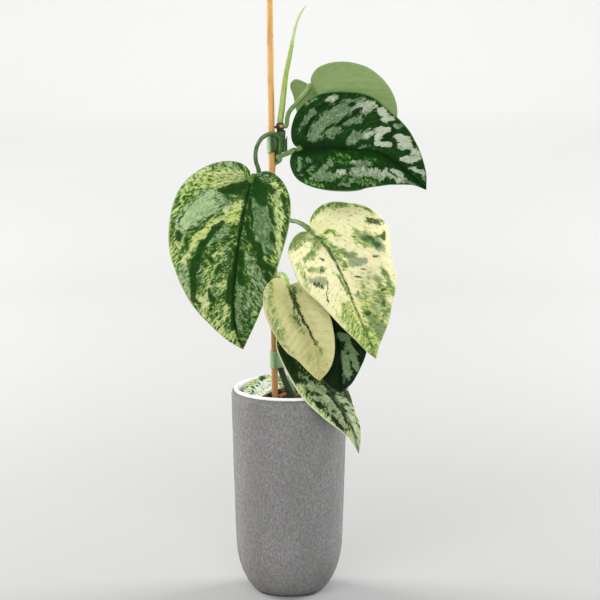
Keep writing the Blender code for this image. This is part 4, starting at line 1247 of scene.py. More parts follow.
def makeBlade(leaf, look):
    spots, faces, edge = bladeGrid(leaf)
    along, across, veinPlace, share = spots.T
    whole = leaf["lengths"][-1]
    places = bladePoint(leaf, along, across)
    normals = bladeNormal(leaf, along, across)
    rise, grooved = bladeRelief(leaf, along, across, veinPlace, share)
    height, scale = blade["broadWave"]
    rise += height * noiseAt(places, scale, whole * 100)
    height, scale = blade["edgeWave"]
    rise += height * noiseAt(places, scale, whole * 170) * smoothStep(share, 0.5, 1.0)
    places = places + normals * rise[:, None]
    thin = blade["thickness"] / 2 * (1 - blade["thinEdge"] * smoothStep(share, 0.93, 1.0))
    upper = places + normals * thin[:, None]
    under = places - normals * thin[:, None]
    count = len(places)
    allFaces = faces + [tuple(i + count for i in f[::-1]) for f in faces]
    for a, b in zip(edge, edge[1:] + edge[:1]):
        allFaces.append((b, a, a + count, b + count))
    slots = [0] * len(faces) + [1] * len(faces) + [0] * len(edge)
    marks, tints = bladeMarks(along, across, look)
    attributes = {
        "leafPlace": np.stack([along, across, veinPlace], -1) * 1000,
        "leafMarks": marks,
        "leafTints": tints,
        "leafForm": np.stack([share, grooved, bell(across, blade["ribMark"])], -1),
    }
    attributes = {key: np.tile(values, (2, 1)) for key, values in attributes.items()}
    return np.concatenate([upper, under]), allFaces, slots, attributes


petiole = dict(
    clearance=0.0003,   # off the vine's thickest skin
    collar=0.0012,      # straight out from there
    # its last three points: metres along the midrib, and how many radii below it
    underBlade=((-0.0030, 0.95), (0.0016, 1.0), (0.0060, 0.75)), bladeGap=0.0002,
    collarRadius=0.85, knuckle=0.35, ends=(1.05, 0.75, 0.3),   # shares of the petiole's own radius
    sides=28, steps=12, channel=0.10, channelWidth=0.5,
)


def stalkRoute(leaf):
    route = [np.array(p) for p in leaf["petiole"]]
    radius = leaf["stalkRadius"]
    if leaf["node"] is not None:
        centre, ahead = vineAt(leaf["node"])
        out = route[0] - centre
        out = unit(out - ahead * out.dot(ahead))
        seat = centre + out * (vine["radius"] + vine["swell"] + petiole["clearance"])
        route = [seat, seat + out * petiole["collar"]] + route
    knuckle = len(route) - 1
    back = bladeFrame(leaf, np.array(0.0))[1]
    for along, under in petiole["underBlade"]:
        place, _, up, _ = bladeFrame(leaf, np.array(max(along, 0.0)))
        route.append(place + back * min(along, 0.0) - up * (radius * under + petiole["bladeGap"]))
    radii = []
    for i in range(len(route)):
        factor = 1 + petiole["knuckle"] * max(0.0, 1 - abs(i - knuckle) / 2)
        radii.append(radius * (petiole["collarRadius"] if i < 2 else factor))
    radii[-3:] = [radius * share for share in petiole["ends"]]
    return route, radii


def stalkShape(turn, share):
    channel = bell((turn + math.pi) % (2 * math.pi) - math.pi, petiole["channelWidth"])
    return 0.99 - petiole["channel"] * channel + 0.02 * np.sin(turn * 7)


def makeStalk(leaf):
    route, radii = stalkRoute(leaf)
    path = smoothPath(route, petiole["steps"])
    lengths = arcLengths(path)
    fine = np.interp(lengths, lengths[::petiole["steps"]], radii)
    facing = bladeFrame(leaf, np.array(0.0))[2]
    return sweep(path, fine, petiole["sides"], stalkShape, facing=facing)


def bladeFinish(name, look):
    finish = Finish(name + "_blade")
    along, across, veinPlace = finish.parts(finish.attribute("leafPlace"))
    silverField, creamField, darkField = finish.parts(finish.attribute("leafMarks"))
    bright, yellowness, shade = finish.parts(finish.attribute("leafTints"))
    share, groove, rib = finish.parts(finish.attribute("leafForm"))
    seed, speckle = look["seed"], look["speckle"]
    # noise along the side veins, from long streaks to round blots
    streak = finish.swing(finish.vector(veinPlace * 0.52, across * 0.19, seed))
    thread = finish.swing(finish.vector(veinPlace * 1.5, across * 0.34, seed + 7.0))
    cloud = finish.swing(finish.vector(along * 0.13, across * 0.13, seed + 3.0), 3.0)
    fleck = finish.swing(finish.vector(veinPlace * 0.80, across * 0.50, seed + 11.0), 4.0, 0.72)
    blot = finish.swing(finish.vector(veinPlace * 0.31, across * 0.22, seed + 19.0), 5.0, 0.66)
    wander = streak * 0.28 + fleck * 0.30 + blot * 0.38
    ragged = streak * 0.26 + fleck * 0.34 + blot * 0.34
    marbled = creamField + wander * speckle
    silvered = silverField + ragged * speckle
    darkened = darkField + ragged * look["darkSpeckle"] + thread * 0.10
    # from green to cream
    stops = [
        (0.05, look["deep"]), (0.40, look["green"]), (0.54, look["olive"]),
        (0.70, look["yellow"]), (0.90, look["cream"]),
    ]
    colour = finish.add("ShaderNodeValToRGB", {"stops": stops}, {0: marbled})
    sunny = finish.between(yellowness + streak * 0.30 + cloud * 0.20, 0.25, 0.80)
    sunny = sunny * finish.between(marbled, 0.4, 0.6)
    colour = finish.blend(sunny, colour, look["sunTint"], "MULTIPLY")
    # silver and green flecks over it
    uneven = fleck * 0.30 + thread * 0.30 + blot * 0.24
    bright = bright + silvered * 0.25 - 0.2 + uneven
    satin = finish.cover(look["silver"], look["silverLight"], bright, -0.1, 1.1)
    colour = finish.cover(colour, satin, silvered, *look["silverReach"], 0.80 + thread * 0.16)
    fine = fleck + thread * 0.5 - streak * 0.3
    colour = finish.cover(colour, look["green"], fine, 0.50, 0.95, look["pepper"])
    # Painted shade over broad soft areas, and on leaf_cream_small a brownish smear along the midrib.
    colour = finish.blend(shade * (0.8 + cloud * 0.3), colour, look["shadeTone"])
    # dark marks, on some leaves painted shade, then veins, margin and base on top
    dark = finish.cover(look["dark"], look["green"], streak * 0.6 + fleck * 0.5, 0.0, 0.9, 0.22)
    colour = finish.cover(colour, dark, darkened, *look["darkReach"], 0.96 + thread * 0.04)
    colour = finish.cover(colour, look["deep"], groove, 0.2, 1.0, look["veinShade"])
    colour = finish.cover(colour, look["rib"], rib, 0.15, 0.8, look["ribShade"])
    colour = finish.cover(colour, look["edge"], share, *look["edgeShares"], look["edgeStrength"])
    fromBase = finish.maths("SQRT", along * along + across * across)
    colour = finish.cover(colour, look["joint"], fromBase + streak * 0.8, 4.2, 1.6, 0.85)
    tiny = finish.grain(finish.place(), 2600.0, 2.0)
    normal = finish.bump(tiny * 0.4 + thread * 0.6, 0.00025, 0.5)
    return finish.close(colour=colour, roughness=0.52 + thread * 0.05, normal=normal, specular=0.06)


def undersideFinish(name, look):
    finish = Finish(name + "_underside")
    along, across, veinPlace = finish.parts(finish.attribute("leafPlace"))
    _, groove, rib = finish.parts(finish.attribute("leafForm"))
    seed = look["seed"]
    thread = finish.grain(finish.vector(veinPlace * 0.8, across * 0.12, seed + 5.0), 1.0, 4.0, 0.6)
    cloud = finish.grain(finish.vector(along * 0.06, across * 0.06, seed), 1.0, 2.0, 0.5)
    colour = finish.cover(look["under"], look["underLight"], thread, 0.3, 0.7)
    colour = finish.blend(cloud * 0.35, colour, look["underLight"])
    colour = finish.blend(groove * 0.35, colour, look["underVein"])
    colour = finish.blend(rib * 0.6, colour, look["underVein"])
    normal = finish.bump(thread, 0.0002, 0.4)
    return finish.close(colour=colour, roughness=0.58, normal=normal, specular=0.3)


def stalkFinish(name, look):
    finish = Finish(name + "_stalk")
    along, turn, share = finish.parts(finish.attribute("stalkPlace"))
    sine, cosine = finish.maths("SINE", turn), finish.maths("COSINE", turn)
    stripe = finish.grain(finish.vector(along * 0.05, sine * 1.4, cosine * 1.4), 2.4, 3.0)
    mottle = finish.grain(finish.place(), 420.0, 3.0)
    colour = finish.cover(look["stalk"], look["stalkLight"], stripe, 0.4, 0.62)
    colour = finish.cover(colour, look["stalkDark"], mottle, 0.5, 0.7, 0.35)
    # Painted highlight on the swelling at the knuckle.
    knuckle = finish.between(share, 0.72, 0.84) * finish.between(share, 0.97, 0.9)
    colour = finish.blend(knuckle * 0.55, colour, look["stalkLight"])
    colour = finish.cover(colour, look["stalkDark"], cosine, 0.45, 0.95, look["channelShade"])
    normal = finish.bump(stripe + mottle * 0.4, 0.0003, 0.5)
    return finish.close(colour=colour, roughness=0.42, normal=normal, specular=0.4)


# Each kind of marks is a starting value and strokes over it, in millimetres on the blade: from along,
# across to along, across, then width and strength.

usualLook = dict(
    seed=0.0, speckle=1.0, darkSpeckle=0.85, pepper=0.30, silverReach=(0.44, 0.60), darkReach=(0.46, 0.62),
    deep=tone(26, 62, 14), green=tone(60, 98, 36), olive=tone(90, 124, 54), yellow=tone(134, 156, 82),
    cream=tone(186, 194, 130), sunTint=(0.88, 0.95, 0.62, 1.0), dark=tone(20, 58, 8),
    silver=tone(84, 116, 68), silverLight=tone(162, 184, 132), rib=tone(4, 32, 2), ribShade=0.75,
    veinShade=0.15, edge=tone(140, 160, 88), shadeTone=tone(96, 104, 52), under=tone(138, 160, 102),
    underLight=tone(156, 176, 120), underVein=tone(118, 142, 84), stalk=tone(78, 112, 48),
    stalkLight=tone(150, 174, 96), stalkDark=tone(40, 70, 26), edgeShares=(0.972, 0.992), edgeStrength=0.7,
    joint=tone(110, 142, 62), channelShade=0.25, creamMarks=(0.0, []), silverMarks=(0.0, []),
    darkMarks=(0.0, []), brightMarks=(0.3, []), yellowMarks=(0.4, []), shadeMarks=(0.0, []),
)

looks = {
    "leaf_left_large": dict(
        seed=1.0, green=tone(60, 92, 42), yellow=tone(148, 168, 94), cream=tone(196, 204, 144),
        silver=tone(84, 114, 72), silverLight=tone(176, 198, 146), sunTint=(0.92, 0.97, 0.70, 1.0),
        pepper=0.38, stalk=tone(44, 78, 34), stalkLight=tone(92, 126, 62), stalkDark=tone(24, 48, 16),
        creamMarks=(0.32, [
            (0, -12, 10, -55, 16, 0.72), (-3, -10, 2, -45, 5, 0.82), (8, -20, 22, -58, 7, 0.82),
            (20, -45, 40, -62, 12, 0.54), (25, -58, 45, -60, 8, 0.52), (40, -50, 62, -62, 12, 0.5),
            (24, -4, 30, -14, 9, 0.95), (34, -6, 42, -24, 7, 0.95), (40, -20, 58, -38, 6, 0.95),
            (56, -36, 76, -46, 7, 0.9), (60, -50, 72, -60, 8, 0.68), (70, -60, 85, -52, 7, 0.62),
            (63, -14, 75, -22, 6, 0.75), (74, -14, 84, -18, 5, 0.8), (82, -26, 90, -24, 6, 0.75),
            (88, -8, 96, -14, 9, 0.68), (95, -22, 100, -22, 7, 0.85), (103, -34, 107, -24, 9, 0.9),
            (112, -8, 128, -14, 14, 0.66), (112, -28, 132, -12, 6, 0.75), (130, -6, 146, -1, 10, 0.7),
            (-2, 22, 8, 36, 5, 0.75), (6, 22, 14, 28, 6, 0.7), (12, 30, 30, 36, 8, 0.82),
            (26, 33, 60, 39, 6, 0.85), (58, 36, 75, 34, 5, 0.58), (60, 24, 66, 28, 4, 0.6),
            (60, 6, 75, 12, 6, 0.42), (90, 12, 110, 16, 14, 0.42), (108, 4, 140, 3, 8, 0.4),
            (105, 22, 118, 18, 5, 0.58), (4, 6, 20, 18, 13, 0.0), (-8, 6, -6, 26, 6, 0.15),
        ]),
        silverMarks=(0.0, [
            (17, -27, 24, -12, 5, 0.75), (20, -32, 46, -54, 12, 1.0), (27, -22, 44, -44, 10, 1.0),
            (24, -14, 30, -24, 6, 0.8), (50, -52, 56, -50, 5, 0.8), (48, -14, 58, -26, 8, 0.9),
            (43, -12, 50, -16, 5, 0.8), (62, -10, 80, -8, 7, 0.5), (84, -46, 98, -42, 11, 0.85),
            (78, -34, 92, -28, 8, 0.5), (92, -18, 100, -14, 6, 0.55), (-7, -14, -7, -40, 6, 0.7),
            (120, -4, 128, -8, 5, 0.6), (18, 13, 32, 26, 14, 0.95), (30, 12, 40, 26, 13, 0.95),
            (40, 16, 54, 28, 12, 0.95), (-4, 8, -3, 22, 5, 0.5), (8, 28, 16, 32, 5, 0.6),
            (62, 8, 70, 14, 6, 0.7), (70, 14, 90, 28, 12, 0.75), (78, 20, 100, 26, 10, 0.7),
            (92, 6, 130, 4, 8, 0.8), (95, 14, 120, 14, 9, 0.7), (100, 24, 110, 22, 4, 0.7),
        ]),
        darkMarks=(0.0, [
            (4, -3, 10, -8, 4, 1.0), (9, -8, 14, -20, 8, 1.0), (40, -16, 46, -22, 4, 1.0),
            (44, -20, 62, -31, 5, 0.95), (62, -31, 80, -35, 5.5, 0.95), (78, -36, 104, -34, 5.5, 0.95),
            (102, -34, 108, -28, 3, 0.8), (55, -55, 59, -53, 5, 1.0), (40, -53, 46, -56, 2.4, 0.9),
            (58, -46, 66, -44, 4, 0.7), (20, -1, 60, -1, 2.6, 0.75), (60, -2, 85, -1, 4, 0.9),
            (85, -2, 104, -4, 6, 1.0), (104, -1, 128, -1, 3, 0.7), (12, -1, 24, -2, 5, 0.6),
            (83, -17, 76, -14, 4, 0.9), (72, -22, 74, -21, 5, 0.8), (97, -22, 104, -18, 4, 0.8),
            (128, -4, 124, -2, 3, 0.8), (1, 6, 9, 18, 6.5, 1.0), (10, 8, 18, 17, 8, 0.95),
            (4, 20, 8, 25, 4, 1.0), (18, 4, 30, 6, 3.5, 0.9), (24, 6, 40, 12, 2.6, 0.9),
            (38, 5, 48, 10, 4.5, 1.0), (46, 9, 56, 18, 5, 1.0), (54, 20, 62, 24, 4, 0.9),
            (62, 20, 72, 26, 4.5, 1.0), (68, 22, 74, 36, 5, 1.0), (78, 30, 84, 33, 5, 0.9),
            (20, 24, 26, 27, 3, 0.7), (28, 27, 34, 32, 3, 0.9), (42, 30, 48, 33, 5, 0.9),
            (8, 34, 14, 38, 4, 0.8), (56, 28, 58, 31, 3, 0.7), (64, 3, 72, 5, 7, 0.9),
            (80, 5, 88, 8, 6, 0.9), (110, 16, 124, 13, 3, 0.6), (88, 22, 92, 25, 3, 0.6),
        ]),
        brightMarks=(0.34, [
            (24, -30, 46, -52, 14, 0.9), (84, -46, 98, -42, 14, 0.5), (28, 14, 48, 26, 20, 0.0),
            (95, 6, 130, 6, 14, 0.15),
        ]),
        yellowMarks=(0.22, [
            (30, -4, 50, -20, 12, 0.9), (10, -30, 30, -56, 14, 0.6), (104, -34, 110, -18, 10, 0.1),
            (26, 33, 60, 39, 8, 0.15), (44, -26, 60, -40, 8, 0.65), (0, 24, 12, 34, 8, 0.2),
        ]),
    ),
    "leaf_upper_right": dict(
        seed=2.0, deep=tone(12, 48, 8), green=tone(24, 68, 16), olive=tone(62, 100, 40),
        yellow=tone(98, 134, 62), cream=tone(140, 166, 98), dark=tone(6, 34, 3), silver=tone(92, 120, 80),
        silverLight=tone(190, 200, 176), edge=tone(96, 130, 72), rib=tone(2, 26, 0), ribShade=0.6,
        speckle=0.85, stalk=tone(104, 136, 72), stalkLight=tone(140, 168, 94), stalkDark=tone(50, 86, 34),
        channelShade=0.8, joint=tone(110, 148, 66), yellowMarks=(0.35, []),
        creamMarks=(0.06, [
            (36, -7, 48, -9, 4, 0.5), (60, -10, 75, -9, 3, 0.4), (62, -30, 85, -26, 4, 0.5),
            (44, -26, 50, -30, 4, 0.6), (4, -12, 9, -30, 3, 0.6), (24, -30, 40, -30, 6, 0.45),
            (14, -36, 30, -42, 5, 0.5), (30, -12, 50, -16, 5, 0.42), (50, -32, 72, -30, 5, 0.52),
            (8, -20, 20, -30, 6, 0.4), (70, -20, 96, -12, 6, 0.42),
        ]),
        silverMarks=(0.0, [
            (4, -12, 9, -30, 3.5, 0.9), (12, -12, 18, -24, 5, 0.7), (16, -38, 18, -34, 3.5, 0.7),
            (22, -32, 34, -30, 8.5, 0.9), (26, -30, 32, -16, 6.5, 0.95), (34, -32, 44, -28, 6.5, 0.95),
            (42, -25, 47, -25, 4, 1.0), (45, -38, 48, -36, 3.5, 0.7), (52, -36, 55, -32, 5, 0.9),
            (52, -14, 58, -14, 6, 0.95), (54, -24, 62, -20, 7.5, 0.9), (60, -24, 84, -18, 9, 0.95),
            (58, -13, 68, -14, 5, 0.8), (66, -34, 84, -28, 3.5, 0.6), (84, -12, 92, -14, 4, 1.0),
            (90, -8, 98, -6, 3.5, 1.0), (96, -12, 103, -8, 4, 1.0), (104, -9, 114, -4, 3.5, 0.8),
            (6, 24, 12, 32, 6, 0.9), (3, 20, 8, 24, 3.5, 0.7), (0, 12, 3, 18, 2, 0.6),
            (8, 16, 10, 18, 2.5, 0.5), (12, 6, 20, 14, 4, 0.9), (14, 10, 30, 30, 12, 1.0),
            (20, 20, 38, 36, 12, 1.0), (28, 11, 34, 16, 6.5, 0.9), (34, 30, 46, 42, 8.5, 0.95),
            (40, 22, 50, 26, 6.5, 0.95), (38, 42, 52, 44, 3.5, 0.8), (24, 42, 27, 46, 6, 1.0),
            (50, 36, 58, 40, 7.5, 1.0), (55, 33, 58, 34, 3.5, 1.0), (43, 4, 48, 14, 4, 0.9),
            (46, 8, 60, 14, 7.5, 1.0), (60, 13, 63, 16, 4, 1.0), (54, 2, 62, 4, 2.5, 0.6),
            (68, 7, 69, 20, 5, 1.0), (66, 20, 72, 22, 4, 1.0), (72, 7, 76, 10, 4, 1.0),
            (66, 34, 69, 29, 5, 1.0), (64, 38, 66, 36, 3.5, 1.0), (76, 27, 77, 28, 3.5, 1.0),
            (71, 33, 72, 31, 2.5, 0.9), (80, 18, 84, 20, 7.5, 1.0), (84, 13, 88, 17, 6, 1.0),
            (90, 4, 94, 7, 4, 1.0), (94, 8, 98, 16, 6.5, 1.0), (90, 17, 96, 18, 3.5, 0.9),
            (99, 4, 100, 5, 2.5, 0.9), (103, 6, 108, 8, 4, 1.0), (108, 10, 116, 4, 3.5, 0.8),
            (5, 38, 14, 45, 4, 0.55),
        ]),
        darkMarks=(0.0, [
            # The first two strokes darken the blade along the midrib from the base: painted shade in the
            # fold, most in the upper half.
            (0, 3, 40, 2, 9, 0.8), (0, -6, 24, -4, 8, 0.7), (8, -28, 18, -16, 4, 0.9),
            (20, 12, 29, 20, 2.4, 1.0), (35, 20, 41, 26, 3, 1.0), (41, 38, 43, 40, 4, 1.0),
            (45, 31, 50, 35, 4, 0.9), (73, 12, 75, 24, 3, 0.9), (56, -4, 100, -2, 5, 0.5),
            (6, 12, 12, 26, 3, 0.9), (16, 34, 24, 40, 4, 0.8),
        ]),
        brightMarks=(0.05, [
            (24, 42, 27, 46, 9, 0.7), (50, 36, 58, 40, 12, 0.7), (60, 13, 63, 16, 7, 0.8),
            (68, 7, 69, 22, 9, 1.0), (72, 7, 76, 10, 7, 0.9), (66, 34, 69, 29, 9, 1.0),
            (80, 18, 88, 16, 12, 1.0), (90, 4, 96, 14, 10, 0.9), (103, 6, 108, 8, 7, 0.9),
            (60, -24, 84, -18, 12, 0.45), (84, -12, 98, -8, 10, 0.75), (42, -25, 47, -25, 6, 0.8),
            (52, -14, 60, -22, 8, 0.35),
        ]),
    ),
    "leaf_top_back": dict(
        seed=3.0, deep=tone(14, 42, 12), green=tone(28, 66, 22), silverLight=tone(180, 194, 160),
        edge=tone(150, 170, 110), rib=tone(12, 34, 10), stalk=tone(92, 124, 58),
        stalkLight=tone(120, 150, 80), under=tone(122, 146, 88), underLight=tone(140, 162, 106),
        underVein=tone(106, 132, 74),
        silverMarks=(0.0, [
            (6, 6, 20, 16, 7, 1.0), (24, 6, 36, 22, 9, 1.0), (44, 4, 54, 20, 8, 1.0),
            (60, 4, 72, 12, 6, 1.0), (2, -12, 14, -34, 8, 1.0), (18, -10, 34, -44, 9, 1.0),
            (32, -6, 48, -36, 9, 1.0), (50, -6, 62, -24, 8, 1.0), (68, -4, 76, -10, 5, 0.9),
            (30, -50, 46, -50, 5, 0.8),
        ]),
        creamMarks=(0.1, [(10, -40, 24, -50, 6, 0.5), (40, 24, 52, 28, 5, 0.5)]),
    ),
    "leaf_cream_large": dict(
        seed=4.0, speckle=0.72, cream=tone(233, 226, 182), yellow=tone(198, 202, 142),
        olive=tone(158, 176, 108), green=tone(112, 138, 74), deep=tone(84, 112, 56), dark=tone(46, 76, 34),
        pepper=0.12, darkSpeckle=0.8, silverReach=(0.34, 0.72), darkReach=(0.36, 0.78),
        silver=tone(96, 116, 86), silverLight=tone(150, 164, 130), sunTint=(0.88, 0.95, 0.66, 1.0),
        rib=tone(64, 94, 40), ribShade=0.35, veinShade=0.05, edge=tone(196, 206, 138),
        shadeTone=tone(104, 122, 60), stalk=tone(82, 110, 50), stalkLight=tone(120, 146, 76),
        stalkDark=tone(50, 78, 28),
        creamMarks=(0.98, [
            (-10, 6, -10, 22, 5, 0.3), (-7, 28, 0, 38, 5, 0.35), (0, 40, 16, 54, 3, 0.5),
            (-4, 28, -2, 36, 3, 0.5), (8, 8, 12, 14, 3, 0.35), (15, 12, 17, 16, 3, 0.4),
            (-3, -8, 2, -30, 6, 0.35), (4, -10, 6, -26, 5, 0.5), (8, -2, 14, -10, 8, 0.45),
            (12, -6, 20, -18, 7, 0.5), (18, -16, 20, -26, 4, 0.35), (10, 3, 40, 5, 6, 0.45),
            (26, 8, 36, 16, 7, 0.45), (26, 30, 34, 40, 12, 0.42), (20, -34, 45, -38, 6, 0.65),
            (30, -26, 34, -16, 6, 0.58), (55, 34, 75, 36, 6, 0.35), (60, 26, 72, 30, 5, 0.5),
            (70, 22, 90, 24, 10, 0.45), (80, 8, 105, 10, 8, 0.4), (90, 12, 104, 18, 8, 0.46),
            (60, 14, 80, 12, 10, 0.62), (80, -14, 110, -6, 12, 0.55), (70, -8, 95, -6, 8, 0.52),
            (45, -4, 60, -3, 4, 0.4), (96, 0, 118, 0, 12, 0.5),
        ]),
        silverMarks=(0.0, [
            (40, 12, 43, 22, 7, 0.9), (31, 12, 34, 16, 5, 0.65), (35, -18, 33, -15, 5, 0.75),
            (38, -30, 44, -20, 8, 0.8), (30, -27, 31, -24, 4, 0.7), (18, -26, 19, -18, 4, 0.6),
            (34, 38, 40, 42, 8, 0.85), (26, 32, 32, 40, 7, 0.65), (56, 22, 60, 28, 6, 0.55),
            (66, 5, 70, 8, 5, 0.7), (84, 8, 92, 8, 6, 0.75), (95, 8, 100, 14, 6, 0.75),
            (80, 15, 86, 16, 6, 0.65), (58, 36, 66, 35, 4, 0.55), (75, 26, 82, 24, 5, 0.75),
            (52, 22, 56, 20, 5, 0.55), (96, 12, 104, 10, 5, 0.7),
        ]),
        darkMarks=(0.0, [
            (19, 44, 22, 52, 5, 1.0), (22, 50, 24, 57, 4.5, 0.95), (34, 48, 32, 51, 4, 1.0),
            (31, 44, 33, 47, 2.5, 0.8), (28, 33, 30, 38, 5, 0.85), (35, 38, 38, 40, 5, 0.75),
            (44, 33, 45, 36, 3, 0.85), (25, -13, 27, -11, 3, 0.95), (43, -28, 47, -24, 5, 0.9),
            (36, -16, 34, -18, 2.5, 0.8), (46, -17, 54, -22, 1.6, 0.95), (54, -22, 64, -25, 1.6, 0.95),
            (0, 0, 8, 0, 2.2, 0.8), (8, 1, 20, 1, 2, 0.8), (20, 1, 40, 0, 2.8, 0.85),
            (40, 0, 70, 0, 2.2, 0.8), (70, 0, 110, 0, 1.6, 0.62), (51, 9, 53, 14, 2, 0.85),
            (69, 27, 68, 30, 2.5, 0.85), (83, 7, 84, 9, 3.5, 0.85), (78, 26, 84, 24, 3, 0.65),
            (48, 18, 49, 20, 2, 0.7), (62, 5, 66, 7, 3, 0.6), (90, 20, 96, 16, 2.5, 0.6),
        ]),
        yellowMarks=(0.15, [(80, 0, 118, 0, 34, 0.8), (-6, 6, 10, 10, 8, 0.55), (60, 38, 80, 34, 8, 0.5)]),
        shadeMarks=(0.0, [(-3, -4, 2, -34, 9, 0.9), (4, -4, 14, -6, 10, 0.5), (60, 20, 90, 18, 26, 0.18)]),
    ),
    "leaf_cream_small": dict(
        seed=5.0, speckle=0.66, cream=tone(202, 196, 144), yellow=tone(196, 198, 138),
        olive=tone(162, 170, 112), green=tone(116, 132, 78), deep=tone(86, 106, 58), dark=tone(38, 58, 28),
        pepper=0.10, darkSpeckle=0.95, darkReach=(0.34, 0.78), sunTint=(0.9, 0.94, 0.74, 1.0),
        silver=tone(112, 126, 94), silverLight=tone(156, 166, 130), rib=tone(48, 72, 34), ribShade=0.1,
        veinShade=0.05, edge=tone(204, 210, 150), shadeTone=tone(150, 150, 96), stalk=tone(136, 162, 84),
        stalkLight=tone(170, 190, 112), stalkDark=tone(96, 126, 54),
        creamMarks=(0.98, [
            (-8, -16, 40, -27, 7, 0.55), (20, -22, 34, -20, 6, 0.58), (24, -8, 40, -6, 6, 0.5),
            (44, -24, 56, -20, 4, 0.6), (60, 4, 75, 6, 8, 0.72), (8, 16, 30, 22, 4, 0.7),
            (2, 6, 8, 8, 6, 0.6), (50, 1, 62, 3, 3, 0.5), (60, -8, 70, -6, 6, 0.66),
        ]),
        silverMarks=(0.0, [
            (0, -24, 30, -27, 3, 0.55), (30, -22, 50, -23, 3, 0.5), (3, -20, 10, -22, 4, 0.5),
        ]),
        darkMarks=(0.0, [
            (4, 0, 22, 0, 5.5, 1.0), (22, -0.5, 50, -0.5, 3.6, 0.95), (26, -6, 32, -4, 4, 0.62),
            (50, 0, 56, 1, 2, 0.6), (1, 2, 6, 4, 5, 0.7), (18, -2, 28, -6, 4, 0.6),
        ]),
        yellowMarks=(0.25, [(0, -14, 16, -18, 14, 0.6), (60, 0, 82, 0, 16, 0.5)]),
        shadeMarks=(0.05, [(10, -5, 60, -7, 12, 0.55), (6, 4, 40, 4, 8, 0.45), (60, -2, 82, 0, 16, 0.35)]),
    ),
    "leaf_lower_inner": dict(
        # This leaf's dark greens are partly its own colour and partly painted shade, for it sits behind the
        # leaves in front.
        seed=6.0, deep=tone(12, 32, 9), green=tone(38, 64, 30), dark=tone(14, 32, 10),
        silver=tone(112, 136, 96), silverLight=tone(150, 172, 134), edge=tone(84, 112, 60),
        rib=tone(6, 20, 5), speckle=0.8, brightMarks=(0.1, []),
        silverMarks=(0.0, [
            (34, 2, 38, 8, 6, 1.0), (38, 4, 42, 10, 5, 0.9), (44, 9, 54, 12, 7, 1.0),
            (52, 11, 62, 13, 5, 1.0), (52, 2, 58, 4, 6, 1.0), (56, 4, 68, 6, 7, 1.0),
            (68, 1, 74, 2, 4, 0.6), (48, 4, 50, 6, 5, 0.6), (26, 10, 32, 16, 5, 0.9),
            (12, 6, 24, 12, 6, 0.9),
        ]),
        # The dark start of 0.3 and the broad stroke over the left half are painted shade: the left half lies
        # in shadow.
        darkMarks=(0.3, [(40, -12, 76, -8, 18, 1.0), (30, 6, 76, 14, 16, 0.1)]),
    ),
    "leaf_over_rim": dict(
        seed=7.0, deep=tone(20, 40, 11), green=tone(50, 74, 32), olive=tone(86, 108, 58),
        yellow=tone(138, 154, 100), cream=tone(188, 196, 150), dark=tone(16, 36, 8),
        silver=tone(112, 130, 90), silverLight=tone(178, 190, 150), edge=tone(206, 212, 172),
        edgeShares=(0.925, 0.965), edgeStrength=0.85, rib=tone(34, 58, 20), ribShade=0.6,
        creamMarks=(0.26, [
            (42, -20, 70, -20, 5, 0.88), (60, -21, 95, -12, 5, 0.82), (80, 11, 100, 8, 5, 0.7),
            (100, -3, 116, 0, 12, 0.92), (0, 6, 30, 20, 16, 0.4), (36, 24, 56, 26, 8, 0.5),
        ]),
        silverMarks=(0.1, [
            (30, -17, 36, -14, 6, 0.6), (42, -13, 52, -6, 9, 0.9), (54, -12, 66, -5, 10, 0.95),
            (66, -14, 70, -10, 6, 0.6), (70, -8, 90, -5, 9, 0.9), (68, 2, 76, 10, 9, 0.9),
            (76, 6, 86, 8, 7, 0.7), (84, 2, 104, 4, 8, 0.95), (98, -2, 112, 1, 6, 0.8),
            (10, 6, 24, 10, 7, 0.9), (30, 6, 44, 16, 8, 0.9), (50, 10, 60, 20, 7, 0.9),
            (4, -8, 14, -14, 4, 0.7),
        ]),
        darkMarks=(0.0, [
            # The first stroke, a dark band near the base of the left half, is painted shadow cast by
            # leaf_cream_small; the others are the leaf's own dark marks.
            (6, -14, 28, -18, 9, 0.8), (52, -13, 56, -10, 4, 0.8), (60, -16, 66, -14, 5, 0.8),
            (74, -9, 76, -8, 3, 0.7), (80, -12, 92, -9, 3, 0.8), (60, -2, 90, -2, 3, 0.9),
            (90, -1, 104, 2, 2.4, 0.7), (74, 6, 76, 8, 3, 0.7), (34, -20, 42, -14, 5, 0.7),
            (64, 14, 74, 12, 4, 0.7),
        ]),
        brightMarks=(0.4, [(84, 3, 108, 3, 10, 0.9), (20, -12, 36, -14, 10, 0.1)]),
    ),
    "leaf_pot_mouth": dict(
        seed=8.0, deep=tone(36, 66, 24), green=tone(84, 116, 56), olive=tone(130, 152, 92),
        dark=tone(14, 38, 8), yellow=tone(162, 176, 112), cream=tone(192, 196, 146), pepper=0.1,
        silver=tone(170, 178, 166), silverLight=tone(208, 212, 204), edge=tone(206, 212, 166), ribShade=0.1,
        veinShade=0.02, brightMarks=(0.7, []),
        creamMarks=(0.55, [(0, -6, 44, -10, 8, 0.8), (4, 4, 40, 5, 6, 0.6)]),
        silverMarks=(0.25, [(14, -2, 48, 2, 15, 0.95), (8, 2, 20, 6, 8, 0.9), (30, -6, 46, -6, 8, 0.7)]),
        darkMarks=(0.0, [
            (8, -12, 13, -10, 4, 1.0), (30, -10, 34, -6, 2.4, 0.8), (20, -9, 23, -6, 2.4, 0.7),
            (38, -6, 42, -3, 2.4, 0.7), (6, 4, 10, 7, 3, 0.7), (26, -8, 27, -7, 2, 0.8),
            (34, -13, 40, -12, 2, 0.7),
        ]),
    ),
}


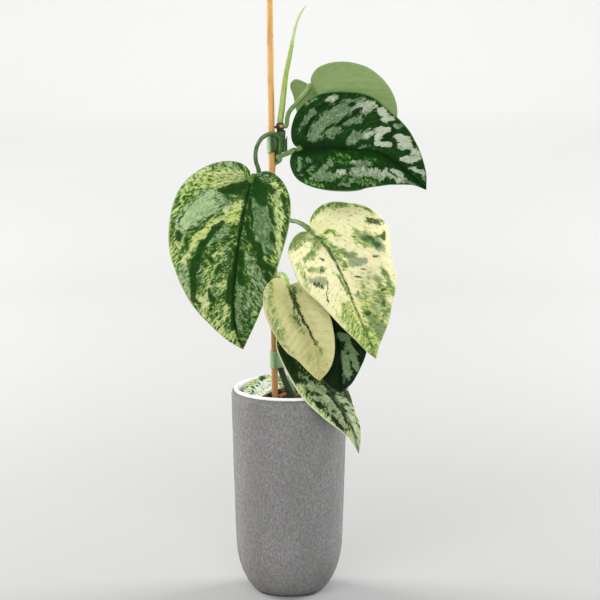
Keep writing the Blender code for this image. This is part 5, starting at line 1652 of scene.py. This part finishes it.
def makeLeaf(name):
    leaf = {**usualLeaf, **leaves[name]}
    look = {**usualLook, **looks[name]}
    leaf["path"] = smoothPath(leaf["midrib"], 10)
    leaf["lengths"] = arcLengths(leaf["path"])
    places, faces, slots, attributes = makeBlade(leaf, look)
    stalkPlaces, stalkFaces, stalkSeen = makeStalk(leaf)
    start = len(places)
    faces += [tuple(i + start for i in f) for f in stalkFaces]
    slots += [2] * len(stalkFaces)
    for key in attributes:
        attributes[key] = np.concatenate([attributes[key], np.zeros((len(stalkPlaces), 3))])
    attributes["stalkPlace"] = np.concatenate([np.zeros((start, 3)), stalkSeen])
    places = np.concatenate([places, stalkPlaces])
    materials = [bladeFinish(name, look), undersideFinish(name, look), stalkFinish(name, look)]
    piece = buildPiece(name + "_grown", places, faces, materials, slots, attributes)
    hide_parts(name)
    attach(piece, "root")


makeStage()
makeLights()
makeCamera()
print("stage, lights and camera are in place")
makePot()
makeMix()
print("pot and potting mix are made")
makeCane()
makeVine()
makeTies()
makeShoot()
print("cane, vine, ties and shoot are made")
for leafName in leaves:
    makeLeaf(leafName)
    print(leafName, "is made")
